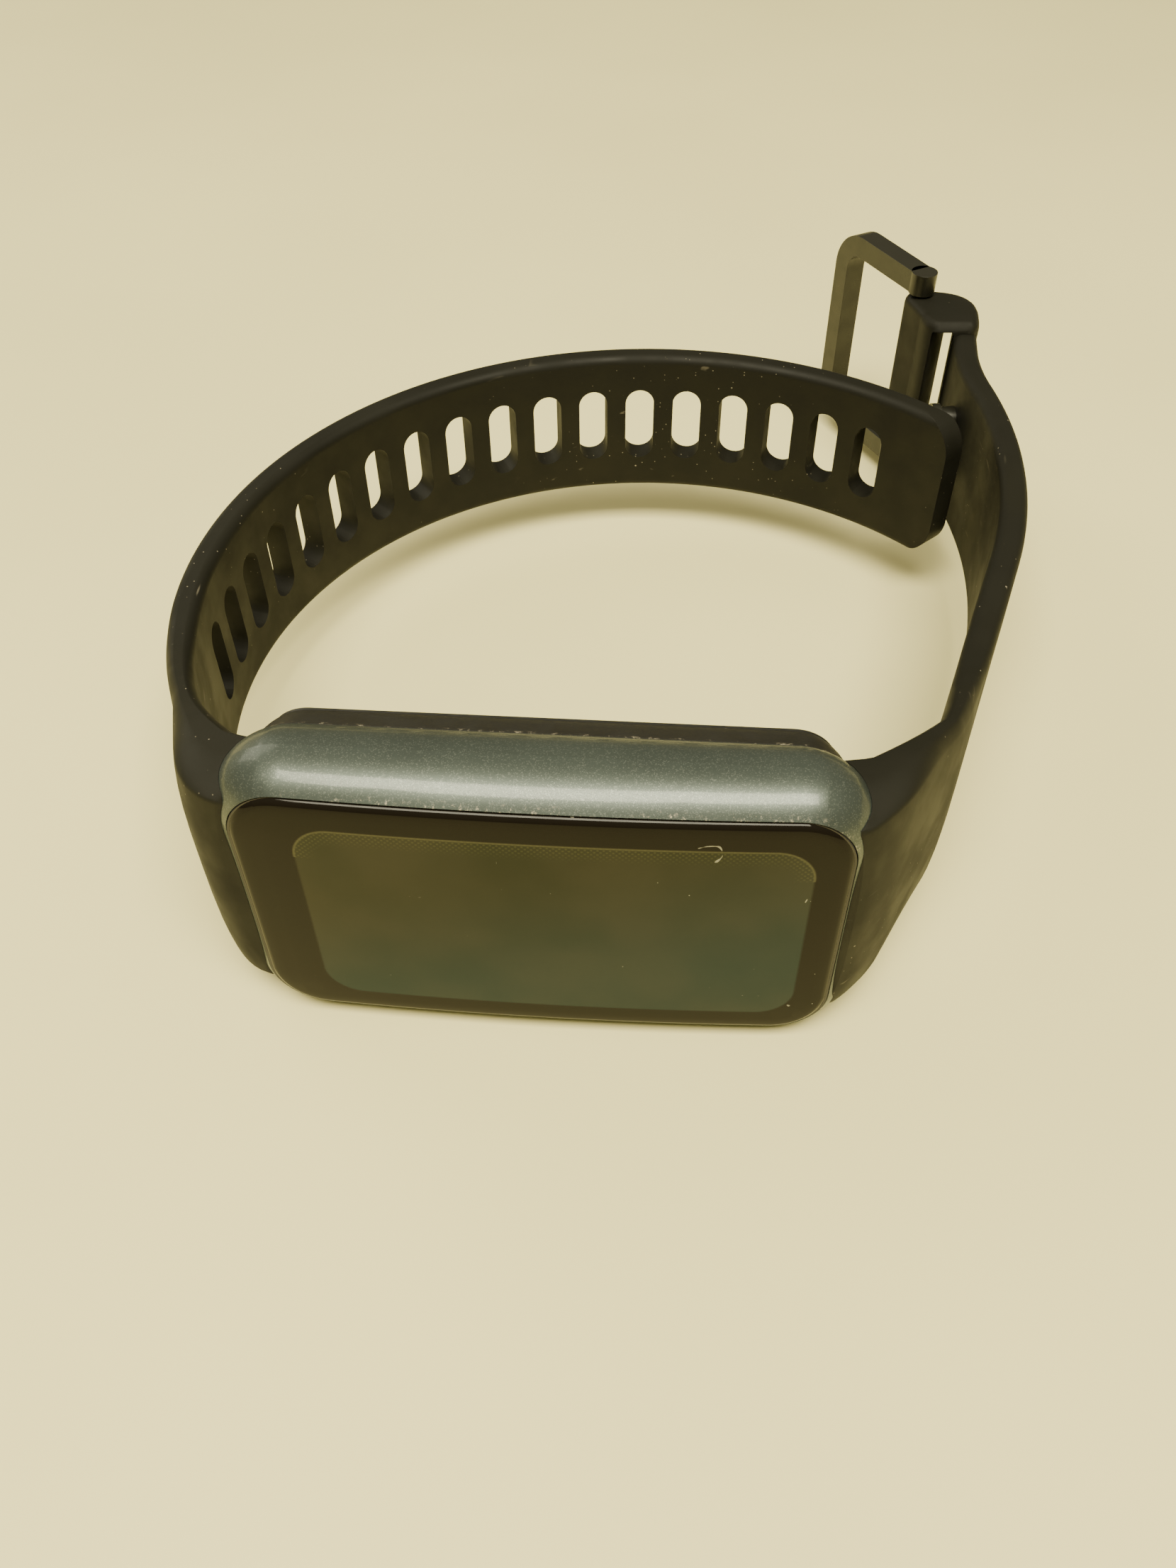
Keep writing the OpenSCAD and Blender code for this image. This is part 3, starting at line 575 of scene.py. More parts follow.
class Finish:
    """A material made of nodes that read where a point is on its piece."""

    def __init__(self, name, rough=0.5, metal=0.0, **sockets):
        self.material = bpy.data.materials.new(name)
        self.material.use_nodes = True
        self.tree = self.material.node_tree
        self.shader = self.tree.nodes["Principled BSDF"]
        for socket, value in {"Roughness": rough, "Metallic": metal, **sockets}.items():
            self.shader.inputs[socket.replace("_", " ")].default_value = value
        self.where = self.node("ShaderNodeTexCoord", {}).outputs["Object"]

    def node(self, kind, inputs, **settings):
        """A node with its settings, whose sockets are fed by name or by number."""
        made = self.tree.nodes.new(kind)
        for key, value in settings.items():
            setattr(made, key, value)
        for socket, value in inputs.items():
            self.feed(made.inputs[socket], value)
        return made

    def feed(self, socket, value):
        """Joins a node's output to a socket, or sets its number, vector or colour."""
        if hasattr(value, "links"):
            self.tree.links.new(value, socket)
        elif isinstance(value, tuple) and len(value) < len(socket.default_value):
            socket.default_value = (*value, 1)
        else:
            socket.default_value = value

    def math(self, how, a, b=None, c=None, clamp=False):
        inputs = {place: value for place, value in enumerate((a, b, c)) if value is not None}
        return self.node("ShaderNodeMath", inputs, operation=how, use_clamp=clamp).outputs[0]

    def product(self, first, *others):
        """All of the values multiplied."""
        for other in others:
            first = self.math("MULTIPLY", first, other)
        return first

    def fade(self, value, a, b, to_a=0.0, to_b=1.0):
        """Goes smoothly from to_a, where the value is a, to to_b, where it is b."""
        inputs = dict(enumerate((value, a, b, to_a, to_b)))
        return self.node("ShaderNodeMapRange", inputs, interpolation_type="SMOOTHSTEP").outputs[0]

    def mapped(self, scale=(1, 1, 1), place=(0, 0, 0), turn=(0, 0, 0)):
        """The point moved, turned and stretched for a pattern."""
        inputs = {"Vector": self.where, "Location": place, "Rotation": turn, "Scale": scale}
        return self.node("ShaderNodeMapping", inputs).outputs[0]

    def noise(self, scale, detail=2.0, rough=0.5, where=None, warp=0.0):
        inputs = {"Vector": where or self.where, "Scale": scale, "Detail": detail, "Roughness": rough,
                  "Distortion": warp}
        return self.node("ShaderNodeTexNoise", inputs).outputs["Fac"]

    def cells(self, scale, output="Distance", where=None, feature="F1", random=1.0):
        inputs = {"Vector": where or self.where, "Scale": scale, "Randomness": random}
        return self.node("ShaderNodeTexVoronoi", inputs, feature=feature).outputs[output]

    def mix(self, share, a, b):
        return self.node("ShaderNodeMix", {0: share, 6: a, 7: b}, data_type="RGBA").outputs[2]

    def bump(self, height, strength, distance):
        inputs = {"Strength": strength, "Distance": distance, "Height": height}
        return self.node("ShaderNodeBump", inputs).outputs[0]

    def set(self, socket, value):
        self.feed(self.shader.inputs[socket], value)

    def lots(self, scale):
        """A number from 0 to 1 for each small cell."""
        return self.node("ShaderNodeSeparateColor", {0: self.cells(scale, "Color")}).outputs[0]

    def specks(self, scale, size, share):
        """Small scattered specks: 1 on a speck, 0 elsewhere."""
        chosen = self.math("LESS_THAN", self.lots(scale), share)
        dot = self.fade(self.cells(scale), size, size * 0.5)
        return self.product(chosen, dot)

    def centred(self):
        """The point measured from the middle of the case: along it, across it and its depth."""
        part = self.node("ShaderNodeSeparateXYZ", {0: self.mapped(place=(-CASE_X, -FACE_Y, -CASE_Z))}).outputs
        return part[0], part[2], part[1]

    def outline(self, x, y, long_side, wide_side, corner, shift=0.0):
        """Distance from a rounded rectangle's outline, negative inside it."""
        qx = self.math("SUBTRACT", self.math("ABSOLUTE", self.math("SUBTRACT", x, shift)), long_side / 2 - corner)
        qy = self.math("SUBTRACT", self.math("ABSOLUTE", y), wide_side / 2 - corner)
        px, py = self.math("MAXIMUM", qx, 0.0), self.math("MAXIMUM", qy, 0.0)
        far = self.math("SQRT", self.math("ADD", self.product(px, px), self.product(py, py)))
        near = self.math("MINIMUM", self.math("MAXIMUM", qx, qy), 0.0)
        return self.math("SUBTRACT", self.math("ADD", far, near), corner)


DUST = (0.42, 0.37, 0.27)


def band_paint(case):
    """Satin metallic paint with fine flakes, and dust in the groove around the glass."""
    f = Finish("satin_metallic_paint", rough=0.40, metal=0.6, Coat_Weight=0.25, Coat_Roughness=0.10)
    grain = f.noise(14000, 3, 0.6)
    cloud = f.noise(160, 2)
    sparkle = f.fade(f.lots(15000), 0.72, 1.0)
    base = tuple(case.paint)
    lift = f.mix(f.fade(cloud, 0.35, 0.7), base, tuple(c * 1.18 for c in base))
    flecked = f.mix(f.product(sparkle, 0.2), lift, (0.28, 0.30, 0.27))
    x, y, depth = f.centred()
    rim = f.outline(x, y, case.length - 2 * case.rim, case.width - 2 * case.rim, case.corner - case.rim)
    edge = f.math("ABSOLUTE", rim)
    low = f.math("LESS_THAN", depth, 0.0016)
    near = f.product(f.fade(edge, 0.00045, 0.00005), low)
    crumbs = f.fade(f.noise(3200, 4, 0.7), 0.55, 0.68)
    stretch = f.fade(f.noise(150, 2), 0.46, 0.62, 0.0, 0.7)
    groove = f.product(near, crumbs, stretch)
    pits = f.specks(700, 0.10, 0.05)
    dark = f.mix(f.product(pits, 0.8), flecked, (0.01, 0.01, 0.01))
    f.set("Base Color", f.mix(groove, dark, DUST))
    f.set("Roughness", f.math("ADD", f.fade(grain, 0.2, 0.8, 0.34, 0.48), f.product(groove, 0.4)))
    f.set("Metallic", f.math("MULTIPLY_ADD", groove, -0.6, 0.6))
    f.set("Normal", f.bump(grain, 0.22, 0.000015))
    return f.material


def silicone(strap):
    """Matte silicone with a fine skin, settled dust, lint and light scuffs."""
    f = Finish("soft_silicone", rough=0.6, Specular_IOR_Level=0.2)
    base = tuple(strap.silicone)
    cloud = f.noise(90, 3)
    fine = f.noise(5200, 3, 0.6)
    tone = f.mix(f.fade(cloud, 0.3, 0.75), base, tuple(c * 1.35 for c in base))
    dust = f.math("ADD", f.specks(1300, 0.14, 0.06), f.specks(3000, 0.2, 0.08), clamp=True)
    settled = f.fade(f.noise(60, 2), 0.46, 0.62)
    drawn_out = f.mapped(scale=(1, 0.22, 3.2), turn=(0.3, 0.5, 0.2))
    lint = f.fade(f.noise(420, 2, 0.5, drawn_out, 0.6), 0.70, 0.76)
    marks = f.product(f.math("ADD", dust, f.product(lint, 0.35), clamp=True), settled)
    f.set("Base Color", f.mix(f.product(marks, 0.5), tone, DUST))
    f.set("Roughness", f.fade(f.noise(240, 3), 0.3, 0.7, 0.55, 0.7))
    f.set("Normal", f.bump(fine, 0.18, 0.00002))
    return f.material


def rear_plastic(case):
    """Fine matte plastic with dust on it and in the seam."""
    f = Finish("rear_shell", rough=0.5)
    base = tuple(case.shell)
    x, y, depth = f.centred()
    seam = f.fade(f.math("ABSOLUTE", f.math("SUBTRACT", depth, case.seam)), 0.00035, 0.0001)
    crumbs = f.fade(f.noise(2400, 4, 0.7), 0.55, 0.65)
    dust = f.math("ADD", f.specks(1100, 0.14, 0.07), f.product(seam, crumbs), clamp=True)
    tone = f.mix(f.fade(f.noise(120, 2), 0.3, 0.7), base, tuple(c * 1.3 for c in base))
    f.set("Base Color", f.mix(f.product(dust, 0.35), tone, DUST))
    f.set("Roughness", f.fade(f.noise(700, 3), 0.3, 0.7, 0.42, 0.56))
    f.set("Normal", f.bump(f.noise(6000, 2), 0.2, 0.00002))
    return f.material


def dark_glass(case, show):
    """Dark glass over a printed border and an unlit display, with a painted reflection that shifts the display's
    tint across it, a painted highlight line at its upper edge, and smudges, specks and lint.
    """
    f = Finish("front_glass", rough=0.06, Specular_IOR_Level=0.12)
    x, y, depth = f.centred()
    lit = f.outline(x, y, show.lit_length, show.lit_width, show.corner, show.shift)
    inside = f.fade(lit, 0.00012, -0.00012)
    # across and tint paint a reflection: the unlit display is shaded from the upper tint to the lower tint across
    # the glass
    across = f.fade(f.math("ADD", y, f.product(x, -0.25)), 0.007, -0.008)
    cloud = f.fade(f.noise(110, 2), 0.3, 0.7)
    tint = f.mix(across, tuple(show.upper), tuple(show.lower))
    tint = f.mix(f.product(cloud, 0.15), tint, (0.09, 0.07, 0.045))
    grid = f.product(*(f.math("SINE", f.product(along, 16000)) for along in (x, y)))
    upper_side = f.math("GREATER_THAN", y, 0.006)
    top = f.product(f.fade(lit, -0.0016, -0.0002), upper_side)
    tint = f.mix(f.math("MULTIPLY", f.product(grid, top), 0.22, clamp=True), tint, (0.13, 0.13, 0.05))
    print_cloud = f.product(f.noise(300, 2), 0.35)
    border = f.mix(print_cloud, tuple(show.border), tuple(c * 1.35 for c in show.border))
    seen = f.mix(inside, border, tint)
    # painted highlight: a light warm line along the upper edge of the lit area
    painted_highlight_line = f.product(f.fade(f.math("ABSOLUTE", lit), 0.00014, 0.0), upper_side)
    seen = f.mix(f.product(painted_highlight_line, 0.3), seen, (0.16, 0.15, 0.07))
    specks = f.math("ADD", f.specks(650, 0.03, 0.12), f.specks(1900, 0.07, 0.03), clamp=True)
    right = f.fade(x, -0.004, 0.012, 0.15, 1.0)
    lint = f.fade(f.noise(700, 1, 0.4, None, 1.6), 0.80, 0.82)
    marks = f.product(f.math("ADD", specks, f.product(lint, 0.6), clamp=True), right)
    f.set("Base Color", f.mix(f.product(marks, 0.75), seen, (0.5, 0.48, 0.36)))
    wiped = f.mapped(scale=(1, 1, 2.5), turn=(0, 0.6, 0))
    smear = f.fade(f.noise(90, 3, 0.6, wiped), 0.35, 0.75, 0.04, 0.13)
    f.set("Roughness", f.math("ADD", smear, f.product(marks, 0.5)))
    return f.material


def plain(name, base, rough=0.5, metal=0.0, grain=1500, strength=0.1, change=0.25, **sockets):
    """A small part's finish: its colour and gloss vary, and its surface has a fine grain."""
    f = Finish(name, rough=rough, metal=metal, **sockets)
    cloud = f.fade(f.noise(grain / 12, 3), 0.3, 0.7)
    f.set("Base Color", f.mix(cloud, tuple(base), tuple(min(c * (1 + change), 1) for c in base)))
    f.set("Roughness", f.fade(f.noise(grain / 3, 2), 0.3, 0.7, max(rough - 0.07, 0.02), rough + 0.07))
    f.set("Normal", f.bump(f.noise(grain * 3, 2), strength, 0.00002))
    return f.material


def brushed(name, base, rough):
    """Metal with fine lines drawn along the strap's width."""
    f = Finish(name, rough=rough, metal=1.0)
    lines = f.noise(5000, 2, 0.6, f.mapped(scale=(1, 1, 0.03)))
    f.set("Base Color", f.mix(f.fade(lines, 0.3, 0.7), tuple(base), tuple(c * 0.8 for c in base)))
    f.set("Roughness", f.fade(lines, 0.3, 0.7, rough - 0.06, rough + 0.1))
    f.set("Normal", f.bump(lines, 0.15, 0.00001))
    return f.material


def circuit(name, base):
    """A board's solder mask with copper tracks under it."""
    f = Finish(name, rough=0.35, Coat_Weight=0.5, Coat_Roughness=0.15)
    tracks = f.cells(900, "Distance", f.mapped(turn=(0, 0.78, 0)), "DISTANCE_TO_EDGE", 0.35)
    line = f.fade(tracks, 0.10, 0.06)
    pads = f.specks(700, 0.24, 0.22)
    tone = f.mix(f.product(line, 0.6), tuple(base), tuple(min(c * 2.4, 1) for c in base))
    f.set("Base Color", f.mix(pads, tone, (0.72, 0.58, 0.30)))
    f.set("Metallic", f.product(pads, 0.9))
    f.set("Normal", f.bump(line, 0.3, 0.00003))
    return f.material


def film(name):
    """Amber film with copper lines along it."""
    f = Finish(name, rough=0.28, Coat_Weight=0.6, Coat_Roughness=0.1)
    across = f.node("ShaderNodeSeparateXYZ", {0: f.where}).outputs[2]
    wave = f.math("SINE", f.product(across, 9000.0))
    line = f.fade(wave, 0.1, 0.5)
    f.set("Base Color", f.mix(line, (0.42, 0.19, 0.03), (0.62, 0.33, 0.09)))
    f.set("Normal", f.bump(line, 0.2, 0.00002))
    return f.material


FINISHES = {}


def finish_for(slot):
    """The finish of a material slot, made once."""
    case, show, strap, buckle = sizes()
    makers = {
        "case_band": lambda: band_paint(case),
        "black_shell": lambda: rear_plastic(case),
        "front_glass": lambda: dark_glass(case, show),
        "black_print": lambda: plain("printed_border", (0.012, 0.010, 0.009), 0.35),
        "display": lambda: plain("display_cell", (0.05, 0.06, 0.045), 0.12, grain=900, change=0.4),
        "adhesive": lambda: plain("foam_adhesive", (0.03, 0.03, 0.03), 0.85, grain=4000, strength=0.6),
        "flex_film": lambda: film("amber_film"),
        "frame_plastic": lambda: plain("moulded_frame", (0.045, 0.045, 0.05), 0.5, strength=0.25),
        "board_green": lambda: circuit("green_board", (0.01, 0.09, 0.035)),
        "board_blue": lambda: circuit("blue_board", (0.012, 0.04, 0.13)),
        "tin_plate": lambda: brushed("tin_plate", (0.66, 0.67, 0.68), 0.3),
        "chip_black": lambda: plain("chip_package", (0.02, 0.02, 0.022), 0.55, strength=0.4),
        "cell_foil": lambda: plain("cell_foil", (0.34, 0.35, 0.37), 0.32, metal=0.9, grain=500, strength=0.5),
        "steel": lambda: brushed("turned_steel", (0.58, 0.59, 0.60), 0.24),
        "gold_pad": lambda: brushed("gold_pad", (0.86, 0.62, 0.22), 0.2),
        "led_clear": lambda: plain("clear_lens", (0.50, 0.78, 0.45), 0.12, change=0.15),
        "sensor_glass": lambda: plain("sensor_window", (0.010, 0.009, 0.012), 0.07, grain=500, strength=0.02),
        "seal_rubber": lambda: plain("seal_rubber", (0.04, 0.04, 0.042), 0.7, strength=0.3),
        "seal_red": lambda: plain("red_seal", (0.32, 0.05, 0.025), 0.5, strength=0.2),
        "silicone": lambda: silicone(strap),
        "buckle_plastic": lambda: plain("satin_plastic", tuple(buckle.plastic), 0.34, grain=1800, strength=0.15,
                                        change=0.4),
        "button_cap": lambda: band_paint(case),
    }
    if slot not in FINISHES:
        FINISHES[slot] = makers[slot]()
    return FINISHES[slot]


def sizes():
    scene = bpy.context.scene
    return scene.band_case, scene.band_display, scene.band_strap, scene.band_buckle


def dress(piece, slot, body, *stands_for):
    """Gives a finished piece its material and its body, and hides the nodes that it stands for."""
    piece.data.materials.clear()
    piece.data.materials.append(finish_for(slot))
    if stands_for:
        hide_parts(*stands_for)
    if body:
        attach(piece, body)


# ---------------- operators

class BAND_OT_side_band(bpy.types.Operator):
    """Model the painted side band with the groove for the glass"""
    bl_idname = "band.side_band"
    bl_label = "Side Band and Glass"

    def execute(self, context):
        case, show, strap, buckle = sizes()
        band = plate("side_band", case.length / MM, case.width / MM, case.corner / MM, -case.widest / MM, 14)
        shape_band_side(band, case)
        pick(band, lambda c, n: abs(n.z) > 0.9 and abs(c.x) < 0.5 and abs(c.y) < 0.5)
        bpy.ops.mesh.bridge_edge_loops()
        outward(band)
        slice_up(band, (1, 0, 0), BOW_CUTS)

        inwards = (case.rim + case.gap) / MM
        glass = plate("cover_glass_skin", case.length / MM - 2 * inwards, case.width / MM - 2 * inwards,
                      case.corner / MM - inwards, 0.0, 14)
        r = 0.7     # the radius of the glass's edge, in mm
        pull_up(case.crown / MM - 0.1 - r)
        pick(glass, lambda c, n: n.z > 0.9)
        trail(arc_steps(r, math.radians(76), 9))
        trail([(0.3, 0.045), (0.5, 0.035), (0.9, 0.025), (1.1, 0.015)])
        outward(glass)
        slice_up(glass, (1, 0, 0), BOW_CUTS)

        bow_front([band, glass], case)

        pocket = block("button_pocket", (-4.6, -14, -1.3), (4.6, -case.width / MM / 2 + 1.1, 1.3))
        round_edges(pocket, lambda c, d: abs(d.y) > 0.5, 1.29, 8)
        place_here(pocket, location=(0, 0, -case.widest / MM))
        carve(band, pocket)

        for piece in (band, glass):
            polish(piece, 38)
            stand_up(piece)
        dress(band, "case_band", "case", "mid_case")
        dress(glass, "front_glass", "case", "cover_glass")
        return {"FINISHED"}


class BAND_OT_rear_shell(bpy.types.Operator):
    """Model the rear cover with its window and its two pad seats"""
    bl_idname = "band.rear_shell"
    bl_label = "Rear Shell"

    def execute(self, context):
        case, show, strap, buckle = sizes()
        inwards = sum(step[0] for step in band_steps(case, False)) + 0.02
        shell = plate("rear_shell", case.length / MM - 2 * inwards, case.width / MM - 2 * inwards,
                      case.corner / MM - inwards, -case.seam / MM - 0.06, 14)
        pull_up(-0.02)
        pick(shell, lambda c, n: n.z < -0.9)
        steps = cover_steps(case)
        steps[0] = (steps[0][0], steps[0][1] - 0.08)
        trail(steps)
        pick(shell, lambda c, n: n.z > 0.9)
        trail([(0.05, 0.04), (0.95, 0.02), (0.02, -2.6)])
        outward(shell)
        window = plate("window_seat", 12, 10, 4.7, -BACK_DEPTH - 1, 10)
        pull_up(3)
        outward(window)
        carve(shell, window)
        for side in (-1, 1):
            carve(shell, rod("pad_seat", 1.2, 2.0, (13, side * 3, -BACK_DEPTH - 0.6)))

        pane = plate("window_skin", 11.9, 9.9, 4.65, -BACK_DEPTH + 0.9, 10)
        pull_up(-0.68)
        pick(pane, lambda c, n: n.z < -0.9)
        trail([(0.12, 0.05), (0.5, 0.05), (0.9, 0.06), (1.1, 0.04)])
        outward(pane)
        for piece in (shell, pane):
            polish(piece, 38)
            stand_up(piece)
        dress(shell, "black_shell", "case", "rear_cover")
        dress(pane, "sensor_glass", "case", "sensor_window")
        return {"FINISHED"}


class BAND_OT_long_strap(bpy.types.Operator):
    """Model the long slotted strap in one piece, curled round"""
    bl_idname = "band.long_strap"
    bl_label = "Long Strap"

    def execute(self, context):
        case, show, strap, buckle = sizes()
        path = long_path(case, strap)
        run = path.length
        tail = run - BEGIN
        piece = flat_strap("long_strap_skin", strap, run)
        self.round_tip(piece, tail, strap.width / MM / 2, strap.tip / MM)
        self.cut_slots(piece, tail, strap)
        slice_up(piece, (1, 0, 0), [0.6 * i for i in range(1, 46)] + [27.6 + i for i in range(int(tail - 28))])
        slice_up(piece, (0, 0, 1), ACROSS, 27)
        swell_root(piece, case, strap, path, -1, 22.5)
        curl(piece, path, run)
        carve(piece, case_form(case))
        polish(piece, 42)
        lay_in(piece)
        dress(piece, "silicone", None, "long_strap_root", "long_strap")
        bend_at_flex(piece, path, strap)
        return {"FINISHED"}

    @staticmethod
    def round_tip(piece, tail, wide, tip):
        """Cuts both corners of the strap's tip to a radius."""
        for side in (-1, 1):
            cutter = block("tip_cut", (tail - tip, -3, 0), (tail + 1, 3, tip + 1))
            bore = rod("tip_round", tip, 8, (0, 0, 0), 64)
            place_here(bore, rotation_euler=(math.pi / 2, 0, 0), location=(tail - tip, 0, 0))
            carve(cutter, bore)
            place_here(cutter, scale=(1, 1, side), location=(0, 0, side * (wide - tip)))
            if side < 0:
                outward(cutter)
            carve(piece, cutter)

    @staticmethod
    def cut_slots(piece, tail, strap):
        """Cuts the row of slots, and rounds their edges on both faces of the strap."""
        half, pitch = strap.thickness / MM / 2, strap.pitch / MM
        wide, high = strap.slot_width / MM, strap.slot_length / MM
        slot = block("slot", (-wide / 2, -3, -high / 2), (wide / 2, 3, high / 2))
        round_edges(slot, lambda c, d: abs(d.y) > 1, wide / 2 - 0.01, 8)
        place_here(slot, location=(tail - strap.slot_end / MM - (strap.slots - 1) * pitch, 0, 0))
        apply(slot, "ARRAY", count=strap.slots, use_relative_offset=False, use_constant_offset=True,
              constant_offset_displace=(pitch, 0, 0))
        carve(piece, slot)
        round_edges(piece, lambda c, d: abs(abs(c.y) - half) < 0.01 and abs(c.z) < high / 2 + 0.05 and c.x > 20,
                    0.22, 2, profile=0.5, clamp_overlap=True)


class BAND_OT_short_strap(bpy.types.Operator):
    """Model the short strap in one piece with the loop at its end"""
    bl_idname = "band.short_strap"
    bl_label = "Short Strap and Loop"

    def execute(self, context):
        case, show, strap, buckle = sizes()
        path = short_path(case)
        run = path.length + 4
        piece = flat_strap("short_strap_skin", strap, run)
        far = int((run - BEGIN - 30.5) / 0.8) + 1
        slice_up(piece, (1, 0, 0), [0.6 * i for i in range(1, 50)] + [30 + 0.8 * i for i in range(far)])
        slice_up(piece, (0, 0, 1), ACROSS, 31)
        swell_root(piece, case, strap, path, 1, 24)
        curl(piece, path, run)
        carve(piece, case_form(case))
        loop, passage = self.loop(path, strap, buckle)
        carve(piece, loop, "UNION")
        carve(piece, passage)
        polish(piece, 42)
        lay_in(piece)
        dress(piece, "silicone", None, "short_strap_root", "short_strap")
        bend_at_flex(piece, path, strap)
        return {"FINISHED"}

    @staticmethod
    def loop(path, strap, buckle):
        """The loop and its passage, laid out along X from its start, with the wrist side towards +Y."""
        out = -strap.thickness / MM / 2 - 0.15                  # the loop's outer face
        high = out + 1.6 + buckle.loop_height / MM              # the far side of the passage
        wide = buckle.inside / MM / 2 - 0.25
        far, inside, pin = buckle.loop / MM, high + 1.0, buckle.pin / MM
        hub = (far - 0.9, high + pin + 0.80)                    # the pin's barrel
        outline = bezier((2.2, 0.2), (2.0, out), (4.0, out), 5)
        outline += bezier((far - 3.6, out), (far + 0.4, out), (far + 0.5, out + 4.2), 9)
        outline += [(hub[0] + (pin + 0.75) * math.cos(a), hub[1] + (pin + 0.75) * math.sin(a))
                    for a in (math.radians(t) for t in range(-10, 121, 13))]
        outline += bezier((4.6, inside + 0.5), (1.9, inside + 0.3), (1.8, inside - 1.4), 8)
        piece = moulding("loop", outline, 2 * wide, 0.9)
        face, across = strap.thickness / MM / 2 + 0.02, strap.width / MM / 2 + 0.2
        passage = block("passage", (-4, 0, -across), (far + 3, 1, across))
        slice_up(passage, (1, 0, 0), [3.0, far - 1])
        # the passage's two faces at each of its stations: it narrows towards the loop's end
        sides = {-4: (face, high + 2.5), 3: (face, high), far - 1: (0.6, 1.5), far + 3: (0.3, 0.9)}
        for v in passage.data.vertices:
            v.co.y = sides[min(sides, key=lambda x: abs(x - v.co.x))][round(v.co.y)]
        round_off(passage, 0.3, 3, 60)
        x, y, h = path.at(path.length)
        for made in (piece, passage):
            place_here(made, rotation_euler=(0, 0, h), location=(x, y, 0))
        return piece, passage


class BAND_OT_buckle(bpy.types.Operator):
    """Model the open buckle frame that swings on its pin"""
    bl_idname = "band.buckle"
    bl_label = "Buckle Frame"

    def execute(self, context):
        case, show, strap, buckle = sizes()
        reach, rail, thick = buckle.reach / MM, buckle.rail / MM, buckle.thickness / MM
        inside = buckle.inside / MM / 2
        outside = inside + rail
        ring = block("buckle_ring", (0, -thick / 2, -outside), (reach, thick / 2, outside))
        round_edges(ring, lambda c, d: abs(d.y) > 1 and c.x > 1, buckle.corner / MM, 12)
        hole = block("hole", (-3, -3, -inside), (reach - rail, 3, inside))
        round_edges(hole, lambda c, d: abs(d.y) > 1 and c.x > 1, buckle.corner / MM - rail, 8)
        carve(ring, hole)
        for side in (-1, 1):
            carve(ring, rod("eye", buckle.pin / MM + 0.6, rail, (0, 0, side * (inside + rail / 2)), 32), "UNION")
        round_off(ring, 0.5, 4, 40)
        polish(ring, 42)
        pin = sum(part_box("buckle_pin"), Vector()) / 2
        place_here(ring, scale=(MM, MM, MM), rotation_euler=(0, 0, self.direction(pin)),
                   location=(pin.x, pin.y, CASE_Z))
        dress(ring, "buckle_plastic", "buckle", "buckle_frame")
        return {"FINISHED"}

    @staticmethod
    def direction(pin):
        """The way that the buckle frame points from its pin, from the 40 furthest points of its solid."""
        spokes = [v.co - pin for v in frame["nodes"]["buckle_frame"].data.vertices]
        far = sum(sorted(spokes, key=lambda p: p.xy.length_squared)[-40:], Vector())
        return math.atan2(far.y, far.x)


class BAND_OT_inner_parts(bpy.types.Operator):
    """Give every part that keeps its own solid its finish"""
    bl_idname = "band.inner_parts"
    bl_label = "Finish the Other Parts"

    def execute(self, context):
        slots = {s["node"]: s["material_slot"] for s in frame["record"]["subparts"]}
        for name, node in frame["nodes"].items():
            finish = finish_for(slots[name])
            if not node.material_slots:
                node.data.materials.append(finish)
            for place in node.material_slots:
                place.material = finish
        return {"FINISHED"}


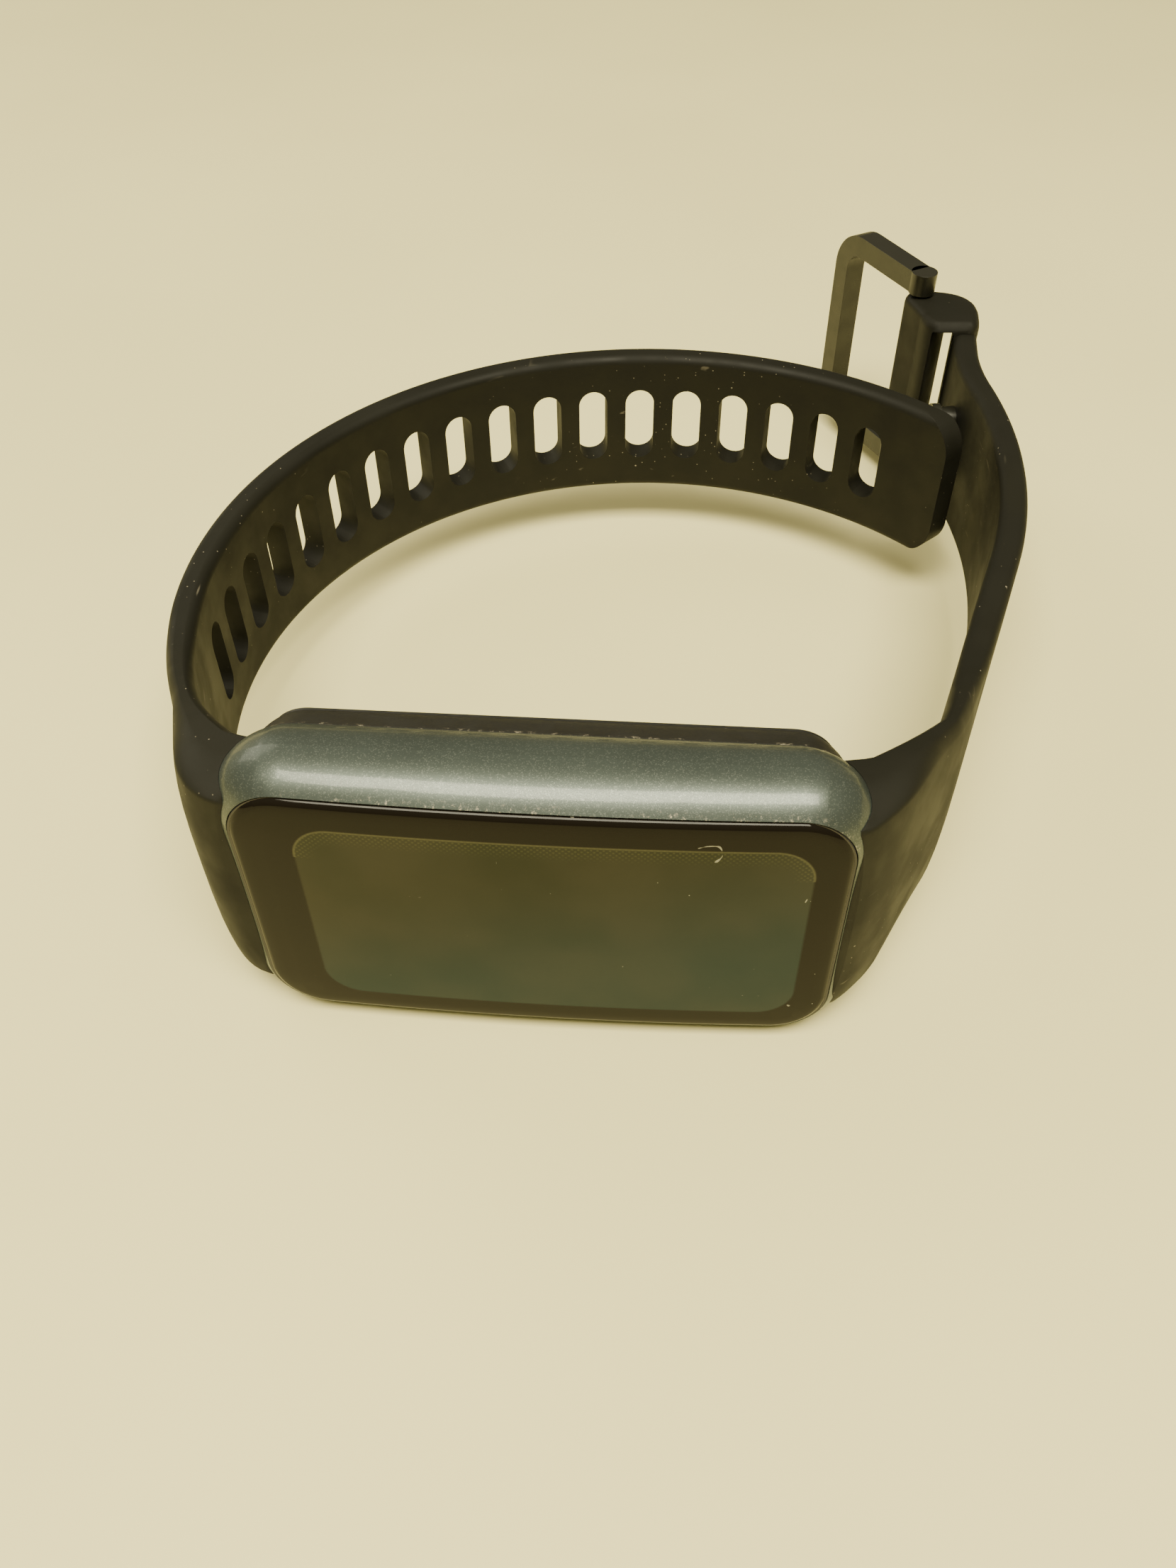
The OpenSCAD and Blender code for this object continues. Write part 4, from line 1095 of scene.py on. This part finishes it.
class BAND_OT_stage(bpy.types.Operator):
    """Set up the table, the soft light and the camera"""
    bl_idname = "band.stage"
    bl_label = "Stage"

    def execute(self, context):
        look = context.scene.band_stage
        put_down()
        bpy.ops.mesh.primitive_plane_add(size=6, location=(0, 0, 0))
        table = context.object
        table.name = "table"
        f = Finish("table_top", rough=0.75)
        base = tuple(look.table)
        cloud = f.fade(f.noise(14, 3), 0.3, 0.7)
        f.set("Base Color", f.mix(cloud, base, tuple(c * 0.95 for c in base)))
        f.set("Normal", f.bump(f.noise(900, 2), 0.05, 0.0001))
        table.data.materials.append(f.material)

        lamps = [
            ("overhead", (0.02, -0.26, 0.58), (0.50, 0.20), look.lamp, (1.0, 0.93, 0.68)),
            ("window", (-0.55, 0.35, 0.45), (0.45, 0.45), look.lamp * 0.2, (1.0, 0.94, 0.72)),
        ]
        for name, place, size, power, tint in lamps:
            put_down()
            bpy.ops.object.light_add(type="AREA", location=place)
            lamp = context.object
            lamp.name = name
            lamp.data.shape = "RECTANGLE"
            lamp.data.size, lamp.data.size_y = size
            lamp.data.energy = power
            lamp.data.color = tint
            lamp.rotation_euler = (Vector((0, 0, 0.01)) - Vector(place)).to_track_quat("-Z", "Y").to_euler()

        world = bpy.data.worlds.new("room")
        context.scene.world = world
        world.use_nodes = True
        nodes, links = world.node_tree.nodes, world.node_tree.links
        ground = nodes["Background"]
        where = nodes.new("ShaderNodeTexCoord")
        part = nodes.new("ShaderNodeSeparateXYZ")
        ramp = nodes.new("ShaderNodeValToRGB")
        links.new(where.outputs["Generated"], part.inputs[0])
        links.new(part.outputs[2], ramp.inputs[0])
        links.new(ramp.outputs[0], ground.inputs[0])
        low, high = ramp.color_ramp.elements
        low.position, low.color = 0.0, (0.20, 0.18, 0.12, 1)
        high.position, high.color = 0.75, (0.85, 0.79, 0.52, 1)
        ground.inputs[1].default_value = 0.55

        put_down()
        bpy.ops.object.camera_add(location=(CASE_X + 7.466 * MM, FACE_Y - 51.647 * MM, CASE_Z + 68.520 * MM),
                                  rotation=(math.radians(43.30683), math.radians(0.50777), math.radians(4.15684)))
        camera = context.object
        camera.data.lens = look.lens
        camera.data.sensor_width = 36
        camera.data.clip_start = 0.005
        context.scene.camera = camera
        return {"FINISHED"}


class BAND_PT_panel(bpy.types.Panel):
    """Lists the pieces of the band and their sizes"""
    bl_idname = "BAND_PT_panel"
    bl_label = "Fitness Band"
    bl_space_type = "VIEW_3D"
    bl_region_type = "UI"
    bl_category = "Band"

    def draw(self, context):
        for name, (title, group) in GROUPS.items():
            box = self.layout.box()
            box.label(text=title)
            for prop in group.__annotations__:
                box.prop(getattr(context.scene, name), prop)
        for operator in OPERATORS:
            self.layout.operator(operator.bl_idname)


GROUPS = {
    "band_case": ("Case", CaseSizes),
    "band_display": ("Display", DisplaySizes),
    "band_strap": ("Straps", StrapSizes),
    "band_buckle": ("Buckle", BuckleSizes),
    "band_stage": ("Stage", StageLook),
}
OPERATORS = (BAND_OT_stage, BAND_OT_side_band, BAND_OT_rear_shell, BAND_OT_long_strap, BAND_OT_short_strap,
             BAND_OT_buckle, BAND_OT_inner_parts)
CLASSES = tuple(group for title, group in GROUPS.values()) + OPERATORS + (BAND_PT_panel,)


def register():
    for cls in CLASSES:
        bpy.utils.register_class(cls)
    for name, (title, group) in GROUPS.items():
        setattr(bpy.types.Scene, name, PointerProperty(type=group))


def unregister():
    for name in GROUPS:
        delattr(bpy.types.Scene, name)
    for cls in reversed(CLASSES):
        bpy.utils.unregister_class(cls)


def main():
    register()
    bpy.ops.band.stage()
    bpy.ops.band.side_band()
    bpy.ops.band.rear_shell()
    bpy.ops.band.long_strap()
    bpy.ops.band.short_strap()
    bpy.ops.band.buckle()
    bpy.ops.band.inner_parts()
    bpy.context.view_layer.update()


if __name__ == "__main__":
    main()
